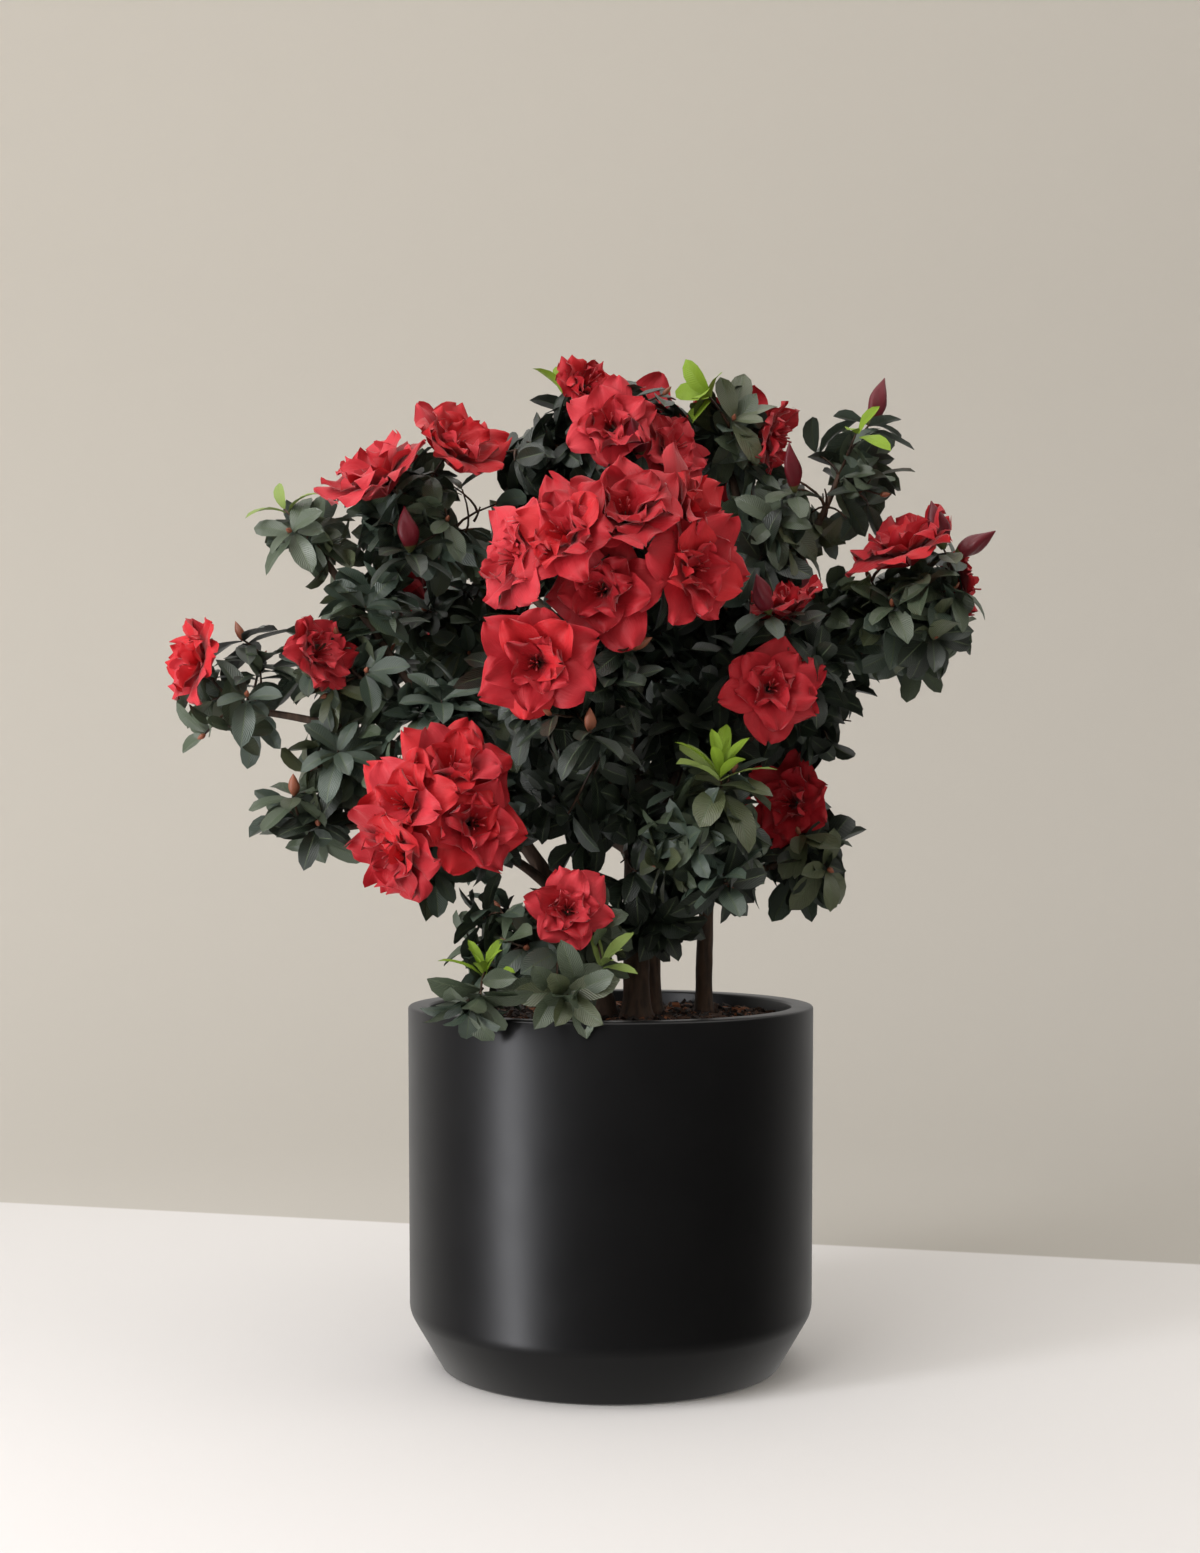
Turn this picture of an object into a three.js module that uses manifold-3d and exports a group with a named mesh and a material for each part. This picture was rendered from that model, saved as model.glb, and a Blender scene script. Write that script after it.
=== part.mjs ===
// An azalea shrub in bloom, grown as a clump of four stems in a plain round planter.
// Millimetres, +Z up. The viewer stands at -Y, +X is the viewer's right, and the origin
// is the middle of the planter's flat underside.
//
// The crown is built the way the shrub grows. Each stem rises from the soil, boughs leave
// the stems, and every bough ends in one mass of foliage: a twig that branches to the tips
// of the mass, each tip closing in a whorl of leaves, a bloom, a bud or a young shoot.
// A mass keeps to its own space, so no two pieces of the shrub ever touch.

import * as THREE from 'three';
import { mergeVertices } from 'three/addons/utils/BufferGeometryUtils.js';
import Module from 'manifold-3d';

const wasm = await Module();
wasm.setup();

// Planter and potting soil
const POT_HEIGHT = 219;
const POT_RIM_RADIUS = 125;
const POT_SHOULDER_RADIUS = 123.5;
const POT_SHOULDER_HEIGHT = 34;
const POT_BASE_RADIUS = 103.5;
const POT_WALL = 13.5;
const POT_SIDES = 40;
const SOIL_BELOW_RIM = 10;
const SOIL_TOP = POT_HEIGHT - SOIL_BELOW_RIM;
const CLEARANCE = 0.3;

// Wood. A stem rises straight for a share of its height before it leans, and flares at its
// root. A bend is how far a limb runs the way it starts, as a share of its length.
const STEM_SIDES = 6;
const STEM_RINGS = 7;
const STEM_STRAIGHT = 0.3;
const FLARE_REACH = 7;
const FLARE_SPREAD = 0.55;
const BOUGH_SIDES = 4;
const BOUGH_RINGS = 3;
const BOUGH_BEND = 0.45;
const BOUGH_TO_STEM = 0.72;
const BOUGH_TIP_RADIUS = 2.3;
const WOOD_MARGIN = 0.4;

// Twigs. The core is a mass's own stem. A twig forks from the shares given along the core
// or another twig, and a way that turns back costs more than one that goes on.
const CORE_RINGS = 2;
const CORE_BEND = 0.4;
const CORE_TIP_RADIUS = 2;
const CORE_FORKS = [0.3, 0.65, 0.97];
const TWIG_SIDES = 3;
const TWIG_BEND = 0.35;
const TWIG_ROOT_RADIUS = 0.5;
const TWIG_RADIUS = 1.2;
const TWIG_TIP_RADIUS = 0.6;
const TWIG_FORKS = [0.5, 0.93];
const LONG_TWIG = 42;
const TURNING_BACK = 1.5;
const PATH_COST = 0.35;
const TIP_OUTWARD = 0.3;
const TIP_UPWARD = 0.5;
const BLOOM_UPWARD = 0.25;

// Leaves and petals. An outline runs from one edge of the blade over its tip to the other
// edge, as shares of its length and of half its width. The angle is from the twig's axis,
// and every other blade is raised and the next lowered by the spread.
const POINTED = [[0.56, -1], [1, 0], [0.56, 1]];
const BLUNT = [[0.6, -0.95], [0.98, -0.42], [0.98, 0.42], [0.6, 0.95]];
const WHORL = {
  count: 6, length: 47, width: 22, angle: 1.25, spread: 0.22, droop: 5, fold: 2, outline: POINTED,
};
const SHOOT = {
  count: 6, length: 34, width: 11, angle: 0.75, spread: 0.1, droop: 2, fold: 1.5, outline: POINTED,
};
const BLOOM = {
  count: 5, length: 36, width: 27, angle: 1.2, spread: 0.08, droop: 4, fold: -3, outline: BLUNT,
};

// A bloom's inner petals stand as a crown in its middle, highest between the outer petals:
// the reach and height of the crown above each corner of a petal, then above the notch.
const CROWN = [[10, 11], [8, 7], [8, 7], [10, 11], [11, 17]];
const CROWN_FLOOR = 4;

// The hub that the blades of a rosette share, and where the twig's end enters it.
const HUB_RADIUS = 4;
const HUB_HALF_HEIGHT = 1.4;
const HUB_ASIDE = 3.6;
const HUB_RISE = 0.4;
const ENTRY_TURN = 0.2;
const REACHES = [1, 0.85, 0.7, 0.55];
const FEWEST_BLADES = 2;
const BUD = { length: 21, radius: 4.5, sunk: 2.5 };

// How deep in its mass each kind of tip sits, as a share of the mass's radii.
const BLOOM_SEAT = 0.62;
const BUD_SEAT = 0.72;
const SHOOT_SEAT = 0.7;
const LEAF_SEATS = [0.43, 0.67];
const HEART_SEAT = 0.12;
const ENTRY_SEAT = 0.5;

// Leafy tips run down a golden-angle spiral between two heights, as shares of the mass's
// height, and keep an angle in radians from the tips that the mass states.
const GOLDEN_ANGLE = Math.PI * (3 - Math.sqrt(5));
const SPIRAL_TOP = 0.94;
const SPIRAL_FOOT = -0.9;
const LEAST_ANGLE = 0.5;

// The space of a mass ends at its own cell, and at its ellipsoid scaled by a reach.
const CROWN_MIDDLE = [0, 30, 420];
const OUTER_REACH = 1.12;
const INNER_REACH = 1.45;
const SPACE_MARGIN = 0.5;
const POT_MARGIN = 1.5;
const FIRST_SEED = 1009;

const COLOURS = {
  pot: { color: 0x1c1b1c, roughness: 0.5, metalness: 0 },
  soil: { color: 0x2a170e, roughness: 1, metalness: 0 },
  bark: { color: 0x3a2a20, roughness: 0.9, metalness: 0 },
  foliage: { color: 0x24402c, roughness: 0.6, metalness: 0 },
};

// Each stem stands on the soil at its foot and leans to its tip; radii are at foot and tip.
const STEMS = {
  stem_main: { foot: [16, -6], tip: [2, 4, 468], radii: [8.5, 3.4], bow: [6, -4] },
  stem_left: { foot: [-3, 2], tip: [-104, -6, 388], radii: [6.5, 3.2], bow: [-8, 2] },
  stem_right: { foot: [59, 24], tip: [92, 2, 442], radii: [5.4, 3.2], bow: [-14, 6] },
  stem_back: { foot: [26, 26], tip: [10, 92, 418], radii: [6.5, 3.2], bow: [4, 8] },
};

// Each mass of foliage: the middle and radii of its space, the stem it hangs on, how far up
// that stem its bough leaves, and what its tips carry. A seat is [bearing, tilt] in degrees
// from the mass's middle: bearing 0 towards the viewer and 90 to the right, tilt upwards.
// A bloom may add the bearing and tilt that it faces.
const MASSES = {
  top: {
    centre: [6, 0, 578], radii: [76, 70, 46], stem: 'stem_main', from: 0.96, leafy: 6,
    blooms: [[-8, -12, -5, 25], [58, -38, 35, 30], [-55, 58, -60, 40], [165, 20]],
    buds: [[18, -42]], shoots: [[-95, 48]],
  },
  top_right: {
    centre: [74, 15, 572], radii: [50, 60, 44], stem: 'stem_right', from: 0.95, leafy: 5,
    blooms: [[60, 0, -90, 30], [165, 20]], buds: [], shoots: [[-40, 55]],
  },
  upper_right: {
    centre: [142, 5, 546], radii: [54, 48, 56], stem: 'stem_right', from: 0.84, leafy: 5,
    blooms: [], buds: [[75, 58], [-50, -15]], shoots: [[20, 42]],
  },
  right: {
    centre: [185, -10, 462], radii: [64, 58, 60], stem: 'stem_right', from: 0.66, leafy: 9,
    blooms: [[-20, 72, 150, 62], [112, 26, 125, 5]], buds: [[62, 62], [92, 52]], shoots: [],
  },
  centre: {
    centre: [1, -95, 487], radii: [92, 52, 47], stem: 'stem_main', from: 0.8, leafy: 3,
    blooms: [[-80, -8, -50, 0], [-30, 14, -25, 10], [10, 44, 5, 45], [-12, -55, -5, -10],
      [62, -22, 35, -5], [95, 42, 70, 30]],
    buds: [], shoots: [],
  },
  upper_left: {
    centre: [-114, -10, 525], radii: [74, 58, 64], stem: 'stem_main', from: 0.74, leafy: 8,
    blooms: [[-38, 18, -70, 62], [60, 66, -60, 60]], buds: [[-10, -40]], shoots: [],
  },
  high_left_sprig: {
    centre: [-189, 5, 511], radii: [30, 28, 34], stem: 'stem_left', from: 0.93, leafy: 3,
    blooms: [], buds: [], shoots: [[-70, 42]],
  },
  left: {
    centre: [-161, 0, 427], radii: [52, 54, 48], stem: 'stem_left', from: 0.9, leafy: 6,
    blooms: [[-35, 16, -105, 15]], buds: [], shoots: [],
  },
  left_tip: {
    centre: [-234, -5, 408], radii: [48, 38, 56], stem: 'stem_left', from: 0.78, leafy: 5,
    blooms: [[-80, 42, -72, 8]], buds: [[160, 70]], shoots: [],
  },
  low_left_sprig: {
    centre: [-187, -10, 330], radii: [38, 34, 34], stem: 'stem_left', from: 0.6, leafy: 3,
    blooms: [], buds: [[-20, 50]], shoots: [],
  },
  lower_left: {
    centre: [-102, -60, 334], radii: [58, 50, 64], stem: 'stem_left', from: 0.44, leafy: 5,
    blooms: [[22, 46, 10, 35], [38, -4, 20, 5], [-48, -30, -45, -25], [-30, 12, -30, 10]],
    buds: [], shoots: [],
  },
  front: {
    centre: [-29, -98, 407], radii: [72, 46, 52], stem: 'stem_main', from: 0.6, leafy: 6,
    blooms: [[-20, 26, -6, -4]], buds: [[25, -40], [80, 40]], shoots: [],
  },
  low_front: {
    centre: [-44, -72, 262], radii: [78, 52, 46], stem: 'stem_main', from: 0.2, leafy: 6,
    blooms: [[32, 42, 5, 10]], buds: [], shoots: [[-38, -30], [50, -22]],
  },
  front_right: {
    centre: [55, -70, 327], radii: [46, 42, 72], stem: 'stem_right', from: 0.4, leafy: 6,
    blooms: [], buds: [], shoots: [[18, 40]],
  },
  lower_right: {
    centre: [119, 15, 314], radii: [48, 50, 50], stem: 'stem_right', from: 0.34, leafy: 6,
    blooms: [[-55, 76, 70, 20]], buds: [], shoots: [],
  },
  right_middle: {
    centre: [104, -45, 424], radii: [50, 48, 62], stem: 'stem_right', from: 0.74, leafy: 5,
    blooms: [[-20, -20, 10, 5], [10, 76, 100, 40]], buds: [[-25, 44]], shoots: [],
  },
  heart: {
    centre: [48, -18, 388], radii: [46, 44, 52], stem: 'stem_main', from: 0.3, leafy: 4,
    blooms: [], buds: [], shoots: [],
  },
  back_top: {
    centre: [30, 95, 535], radii: [72, 58, 56], stem: 'stem_back', from: 0.98, leafy: 6,
    blooms: [[172, 34], [120, 6]], buds: [], shoots: [[-160, 60]],
  },
  back_left: {
    centre: [-100, 92, 462], radii: [66, 62, 60], stem: 'stem_back', from: 0.8, leafy: 7,
    blooms: [[-150, 20], [-100, 46]], buds: [], shoots: [],
  },
  back_right: {
    centre: [98, 98, 452], radii: [66, 60, 60], stem: 'stem_back', from: 0.88, leafy: 7,
    blooms: [[140, 30]], buds: [[100, 50]], shoots: [],
  },
  back: {
    centre: [2, 142, 418], radii: [62, 48, 60], stem: 'stem_back', from: 0.72, leafy: 6,
    blooms: [[178, 24], [-150, -28]], buds: [], shoots: [],
  },
  back_lower_left: {
    centre: [-88, 72, 345], radii: [62, 56, 54], stem: 'stem_back', from: 0.46, leafy: 6,
    blooms: [[-150, 4]], buds: [], shoots: [],
  },
  back_lower_right: {
    centre: [62, 98, 325], radii: [60, 54, 52], stem: 'stem_back', from: 0.36, leafy: 6,
    blooms: [[160, 10]], buds: [], shoots: [],
  },
};

const vector = (x, y, z) => new THREE.Vector3(x, y, z);
const UP = vector(0, 0, 1);
const crownMiddle = vector(...CROWN_MIDDLE);

// A repeatable source of numbers from 0 to 1.
function seeded(seed) {
  let state = seed;
  return () => {
    state = (state * 1664525 + 1013904223) % 4294967296;
    return state / 4294967296;
  };
}

// The unit vector at a bearing and tilt in degrees.
function heading(bearing, tilt) {
  const b = THREE.MathUtils.degToRad(bearing);
  const t = THREE.MathUtils.degToRad(tilt);
  return vector(Math.sin(b) * Math.cos(t), -Math.cos(b) * Math.cos(t), Math.sin(t));
}

// A unit vector square to a direction, turned by an angle about it.
function across(direction, angle) {
  const helper = Math.abs(direction.z) < 0.9 ? UP : vector(1, 0, 0);
  const side = helper.clone().cross(direction).normalize();
  return side.applyAxisAngle(direction, angle);
}

// A closed geometry as a solid that can be joined and cut.
function solid(geometry) {
  const bare = new THREE.BufferGeometry();
  bare.setAttribute('position', geometry.getAttribute('position'));
  bare.setIndex(geometry.getIndex());
  const merged = mergeVertices(bare, 1e-4);
  return new wasm.Manifold(new wasm.Mesh({
    numProp: 3,
    vertProperties: merged.getAttribute('position').array,
    triVerts: new Uint32Array(merged.getIndex().array),
  }));
}

// A solid as a geometry that can be drawn.
function geometryOf(body) {
  const mesh = body.getMesh();
  const geometry = new THREE.BufferGeometry();
  geometry.setAttribute('position', new THREE.BufferAttribute(mesh.vertProperties.slice(), 3));
  geometry.setIndex(new THREE.BufferAttribute(mesh.triVerts.slice(), 1));
  geometry.computeVertexNormals();
  return geometry;
}

// The solid's largest piece, with any sealed hollow filled and any loose scrap dropped.
function wholePiece(body) {
  return body.decompose().reduce((a, b) => (b.volume() > a.volume() ? b : a));
}

// A round tapering rod along a curve: a cylinder whose rings are moved onto the curve.
function rod(curve, radiusAt, sides, rings) {
  const geometry = new THREE.CylinderGeometry(1, 1, 1, sides, rings);
  const position = geometry.getAttribute('position');
  const frames = [];
  let side = across(curve.getTangent(0), 0);
  for (let ring = 0; ring <= rings; ring += 1) {
    const share = ring / rings;
    const along = curve.getTangent(share);
    side = side.sub(along.clone().multiplyScalar(side.dot(along))).normalize();
    frames.push({ at: curve.getPoint(share), side: side.clone(), other: along.clone().cross(side) });
  }
  for (let i = 0; i < position.count; i += 1) {
    const ring = Math.round((position.getY(i) + 0.5) * rings);
    const frame = frames[ring];
    const radius = radiusAt(ring / rings);
    const moved = frame.at.clone()
      .addScaledVector(frame.side, position.getZ(i) * radius)
      .addScaledVector(frame.other, position.getX(i) * radius);
    position.setXYZ(i, moved.x, moved.y, moved.z);
  }
  return geometry;
}

// The blades of a rosette, evenly round the axis +Z and leaning in turn above and below the
// angle of their kind.
function bladesOf(kind, phase) {
  return Array.from({ length: kind.count }, (_, i) => ({
    turn: phase + i * 2 * Math.PI / kind.count,
    angle: kind.angle + (i % 2 ? kind.spread : -kind.spread),
    reach: 1,
  }));
}

// The corners of a blade, drawn in to its reach. The droop lowers the tip, the fold raises
// the edges, and no corner comes inside the hub.
function bladeCorners(kind, { turn, angle, reach }) {
  return kind.outline.map(([along, aside]) => {
    const out = Math.max(along * kind.length * reach, HUB_RADIUS);
    const lift = (Math.abs(aside) * kind.fold - along * along * kind.droop) * reach;
    const corner = vector(0, aside * reach * kind.width / 2, 0);
    corner.x = out * Math.sin(angle) - lift * Math.cos(angle);
    corner.z = out * Math.cos(angle) + lift * Math.sin(angle);
    return corner.applyAxisAngle(UP, turn);
  });
}

// A whorl of leaves or a row of petals as one closed shape: a flat bipyramid whose rim runs
// out round each blade and back to a notch at the hub. A lone blade has one notch, behind.
// A crown stands on the rim's upper side, as one more ring.
function rosetteGeometry(kind, blades, crown) {
  const rim = [];
  const ring = [];
  blades.forEach((blade, i) => {
    const next = i + 1 < blades.length ? blades[i + 1].turn : blades[0].turn + 2 * Math.PI;
    const notch = vector(HUB_RADIUS * Math.sin(kind.angle), 0, HUB_RADIUS * Math.cos(kind.angle));
    rim.push(...bladeCorners(kind, blade), notch.applyAxisAngle(UP, (blade.turn + next) / 2));
    crown?.forEach(([out, height], corner) => {
      const bearing = rim.at(corner - crown.length);
      const turn = Math.atan2(bearing.y, bearing.x);
      ring.push(vector(out * Math.cos(turn), out * Math.sin(turn), height));
    });
  });
  const geometry = new THREE.SphereGeometry(1, rim.length, crown ? 3 : 2);
  geometry.rotateX(Math.PI / 2);
  const position = geometry.getAttribute('position');
  for (let i = 0; i < position.count; i += 1) {
    const up = position.getZ(i);
    const turn = Math.atan2(position.getY(i), position.getX(i)) / (2 * Math.PI);
    const corner = (Math.round(turn * rim.length) + rim.length) % rim.length;
    const middle = vector(0, 0, up > 0 && crown ? CROWN_FLOOR : Math.sign(up) * HUB_HALF_HEIGHT);
    const row = crown && up > 0 ? ring : rim;
    const moved = Math.abs(up) > 0.9 ? middle : row[corner];
    position.setXYZ(i, moved.x, moved.y, moved.z);
  }
  return geometry;
}

// The point at a share of a rod's centreline, which runs straight from ring to ring.
function onRod(curve, rings, share) {
  const ring = Math.min(Math.floor(share * rings), rings - 1);
  return curve.getPoint(ring / rings).lerp(curve.getPoint((ring + 1) / rings), share * rings - ring);
}

// A curve that leaves its start in one direction and swings over to its end.
function sweep(start, leaving, end, bendShare) {
  const reach = start.distanceTo(end) * bendShare;
  const bend = start.clone().addScaledVector(leaving, reach);
  return new THREE.QuadraticBezierCurve3(start, bend, end);
}

function makeStem({ foot, tip, radii, bow }) {
  const start = vector(foot[0], foot[1], SOIL_TOP + CLEARANCE);
  const end = vector(...tip);
  const low = vector(foot[0], foot[1], SOIL_TOP + STEM_STRAIGHT * (end.z - SOIL_TOP));
  const high = low.clone().lerp(end, 0.5).add(vector(bow[0], bow[1], 0));
  const curve = new THREE.CubicBezierCurve3(start, low, high, end);
  const rise = end.z - start.z;
  const radiusAt = (share) => THREE.MathUtils.lerp(radii[0], radii[1], share)
    * (1 + FLARE_SPREAD * Math.exp(-share * rise / FLARE_REACH));
  return { curve, radiusAt };
}

// Where a bough meets its mass, on the side of the space that faces the stem.
function entryOf(mass, start) {
  const inward = start.clone().sub(mass.middle).divide(mass.radii).normalize();
  return mass.middle.clone().addScaledVector(inward.multiply(mass.radii), ENTRY_SEAT);
}

function makeBough(stem, mass) {
  const start = stem.curve.getPoint(mass.from);
  const end = entryOf(mass, start);
  const upward = stem.curve.getTangent(mass.from);
  const leaving = end.clone().sub(start).normalize().add(upward).normalize();
  const curve = sweep(start, leaving, end, BOUGH_BEND);
  const rootRadius = Math.max(BOUGH_TIP_RADIUS, BOUGH_TO_STEM * stem.radiusAt(mass.from));
  const radiusAt = (share) => THREE.MathUtils.lerp(rootRadius, BOUGH_TIP_RADIUS, share);
  return { curve, radiusAt };
}

// The space of a mass is its own cell among all the masses. The cell is convex, so a blade
// with every corner in it lies in it whole. An ellipsoid bounds it too, closely on the
// crown's outside and loosely within the crown, where masses meet.
const masses = Object.entries(MASSES).map(([name, given], index) => ({
  ...given,
  name,
  index,
  middle: vector(...given.centre),
  radii: vector(...given.radii),
  size: (given.radii[0] + given.radii[1] + given.radii[2]) / 3,
}));

function inSpace(mass, point, margin) {
  const offset = point.clone().sub(mass.middle);
  const inward = offset.dot(crownMiddle.clone().sub(mass.middle)) > 0;
  if (offset.divide(mass.radii).length() > (inward ? INNER_REACH : OUTER_REACH)) return false;
  const own = point.distanceToSquared(mass.middle) - mass.size ** 2;
  return masses.every((other) => {
    if (other === mass) return true;
    const apart = mass.middle.distanceTo(other.middle);
    return point.distanceToSquared(other.middle) - other.size ** 2 - own > 2 * apart * margin;
  });
}

function cornersOf(geometry) {
  const position = geometry.getAttribute('position');
  return Array.from({ length: position.count }, (_, i) => (
    new THREE.Vector3().fromBufferAttribute(position, i)
  ));
}

// Whether a body runs into any of the others, apart from those that carry it.
function crosses(body, others, carriers) {
  const { min, max } = body.boundingBox();
  return others.some((other) => {
    if (carriers.includes(other)) return false;
    const apart = [0, 1, 2].some((i) => other.box.min[i] > max[i] || other.box.max[i] < min[i]);
    return !apart && !other.body.intersect(body).isEmpty();
  });
}

function boxed(body) {
  return { body, box: body.boundingBox() };
}

// A rosette at a twig's end, as a solid. Each blade is drawn in until it keeps to the mass's
// space and crosses nothing, or is left out. The twig enters beside the hub's middle, under
// the first blade, so there is no rosette without that blade or with hardly another.
function fittedRosette(growth, kind, { end, axis, phase, carriers, crown }) {
  const place = new THREE.Matrix4().makeRotationFromQuaternion(
    new THREE.Quaternion().setFromUnitVectors(UP, axis),
  );
  const blades = bladesOf(kind, phase);
  const aside = vector(Math.sin(blades[0].angle), 0, Math.cos(blades[0].angle))
    .applyAxisAngle(UP, phase + ENTRY_TURN).applyMatrix4(place);
  place.setPosition(end.clone().addScaledVector(aside, -HUB_ASIDE).addScaledVector(axis, HUB_RISE));
  const fits = (blade) => {
    const corners = bladeCorners(kind, blade).map((p) => p.applyMatrix4(place));
    if (!corners.every((p) => inSpace(growth.mass, p, SPACE_MARGIN))) return false;
    const alone = solid(rosetteGeometry(kind, [blade]).applyMatrix4(place));
    return !crosses(alone, growth.obstacles, []) && !crosses(alone, growth.grown, carriers);
  };
  const fitted = blades.map((blade) => {
    const reach = REACHES.find((share) => fits({ ...blade, reach: share }));
    return { ...blade, reach: reach ?? 0 };
  });
  const kept = fitted.filter((blade) => blade.reach > 0);
  if (fitted[0].reach === 0 || kept.length < FEWEST_BLADES) return null;
  const whole = rosetteGeometry(kind, kept, crown).applyMatrix4(place);
  const inside = cornersOf(whole).every((p) => inSpace(growth.mass, p, SPACE_MARGIN));
  const rosette = solid(whole);
  return inside && !crosses(rosette, growth.obstacles, []) ? boxed(rosette) : null;
}

// Grows a rosette at a twig's end, turned on by a blade at a time until one fits there.
function growRosette(growth, kind, seat) {
  for (let i = 0; i < kind.count; i += 1) {
    const phase = seat.phase + i * 2 * Math.PI / kind.count;
    const rosette = fittedRosette(growth, kind, { ...seat, phase });
    if (rosette) {
      growth.grown.push(rosette);
      return;
    }
  }
}

function budGeometry(at, along) {
  const geometry = new THREE.SphereGeometry(1, 5, 3);
  geometry.rotateX(Math.PI / 2);
  geometry.scale(BUD.radius, BUD.radius, BUD.length / 2);
  geometry.translate(0, 0, BUD.length / 2 - BUD.sunk);
  geometry.applyQuaternion(new THREE.Quaternion().setFromUnitVectors(UP, along));
  return geometry.translate(at.x, at.y, at.z);
}

// The tips of a mass: those that it states, then leafy ones spread evenly over its space
// on a golden-angle spiral, wherever no bloom, bud or shoot stands.
function tipsOf(mass, random) {
  const stated = [
    ...mass.blooms.map((seat) => ({ kind: 'bloom', seat, depth: BLOOM_SEAT })),
    ...mass.buds.map((seat) => ({ kind: 'bud', seat, depth: BUD_SEAT })),
    ...mass.shoots.map((seat) => ({ kind: 'shoot', seat, depth: SHOOT_SEAT })),
  ].map((tip) => ({ ...tip, outward: heading(tip.seat[0], tip.seat[1]) }));
  const leafy = [];
  for (let i = 0; i < mass.leafy; i += 1) {
    const height = THREE.MathUtils.lerp(SPIRAL_TOP, SPIRAL_FOOT, (i + 0.5) / mass.leafy);
    const turn = (i + mass.index) * GOLDEN_ANGLE;
    const ring = Math.sqrt(1 - height * height);
    const outward = vector(Math.cos(turn) * ring, Math.sin(turn) * ring, height);
    const depth = THREE.MathUtils.lerp(...LEAF_SEATS, random());
    if (stated.every((tip) => tip.outward.angleTo(outward) > LEAST_ANGLE)) {
      leafy.push({ kind: 'leafy', outward, depth });
    }
  }
  return [...stated, ...leafy].map((tip) => ({
    ...tip,
    at: mass.middle.clone().addScaledVector(tip.outward.clone().multiply(mass.radii), tip.depth),
  }));
}

// The wood of a mass. Each tip, the nearest first, is reached from whatever twig it costs
// least to reach it from, so that twigs fork the way a shrub's do. A twig that would leave
// the mass's space or touch a limb is skipped.
function growTwigs(growth, start, entering) {
  const { mass, obstacles, grown } = growth;
  const random = seeded(FIRST_SEED * (mass.index + 1));
  const heart = mass.middle.clone().addScaledVector(mass.middle.clone().sub(start), HEART_SEAT);
  const core = sweep(start, entering, heart, CORE_BEND);
  const coreRadius = (share) => THREE.MathUtils.lerp(BOUGH_TIP_RADIUS, CORE_TIP_RADIUS, share);
  const twigRadius = (share) => (share === 0
    ? TWIG_ROOT_RADIUS
    : THREE.MathUtils.lerp(TWIG_RADIUS, TWIG_TIP_RADIUS, share));
  grown.push(boxed(solid(rod(core, coreRadius, BOUGH_SIDES, CORE_RINGS))));
  const forks = [];
  const addForks = (curve, rings, shares, path, length) => shares.forEach((share) => forks.push({
    at: onRod(curve, rings, share), along: curve.getTangent(share), path: path + share * length,
  }));
  addForks(core, CORE_RINGS, CORE_FORKS, 0, start.distanceTo(heart));
  const tips = tipsOf(mass, random);
  tips.sort((a, b) => a.at.distanceTo(start) - b.at.distanceTo(start));
  return tips.flatMap((tip) => {
    const phase = random() * 2 * Math.PI;
    const cost = (fork) => {
      const gap = tip.at.clone().sub(fork.at);
      const forward = gap.clone().normalize().dot(fork.along);
      return gap.length() * (forward > 0 ? 1 : TURNING_BACK) + PATH_COST * fork.path;
    };
    const fork = forks.reduce((a, b) => (cost(b) < cost(a) ? b : a));
    const leaving = tip.at.clone().sub(fork.at).normalize().add(fork.along).normalize();
    const curve = sweep(fork.at, leaving, tip.at, TWIG_BEND);
    const length = fork.at.distanceTo(tip.at);
    const rings = length > LONG_TWIG ? 2 : 1;
    const wood = boxed(solid(rod(curve, twigRadius, TWIG_SIDES, rings)));
    const inside = [0.5, 1].every((share) => inSpace(mass, curve.getPoint(share), TWIG_RADIUS));
    if (!inside || crosses(wood.body, obstacles, [])) return [];
    grown.push(wood);
    addForks(curve, rings, TWIG_FORKS, fork.path, length);
    const raised = curve.getTangent(1).addScaledVector(tip.outward, TIP_OUTWARD)
      .addScaledVector(UP, TIP_UPWARD).normalize();
    return [{ tip, wood, phase, raised }];
  });
}

// One mass as a single solid, grown from the end of its bough: first the wood, then the
// blooms and buds, then leaves in what room is left.
function growMass(mass, bough, obstacles) {
  const entering = bough.curve.getTangent(1);
  const start = bough.curve.getPoint(1).addScaledVector(entering, CLEARANCE);
  const growth = { mass, obstacles, grown: [] };
  const twigs = growTwigs(growth, start, entering);
  for (const kind of ['bloom', 'bud', 'shoot', 'leafy']) {
    twigs.filter((twig) => twig.tip.kind === kind).forEach((twig) => GROW[kind](growth, twig));
  }
  return wholePiece(wasm.Manifold.union(growth.grown.map((grown) => grown.body)));
}

// What a twig of each kind ends in.
const GROW = {
  bloom(growth, { tip, wood, phase }) {
    const [, , bearing, tilt] = tip.seat;
    const facing = tip.seat.length > 2
      ? heading(bearing, tilt)
      : tip.outward.clone().addScaledVector(UP, BLOOM_UPWARD).normalize();
    growRosette(growth, BLOOM, { end: tip.at, axis: facing, phase, carriers: [wood], crown: CROWN });
  },
  bud(growth, { tip, wood, phase, raised }) {
    const bud = boxed(solid(budGeometry(tip.at, raised)));
    growth.grown.push(bud);
    growRosette(growth, WHORL, { end: tip.at, axis: raised, phase, carriers: [wood, bud] });
  },
  shoot(growth, { tip, wood, phase, raised }) {
    growRosette(growth, SHOOT, { end: tip.at, axis: raised, phase, carriers: [wood] });
  },
  leafy(growth, { tip, wood, phase, raised }) {
    growRosette(growth, WHORL, { end: tip.at, axis: raised, phase, carriers: [wood] });
  },
};

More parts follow.
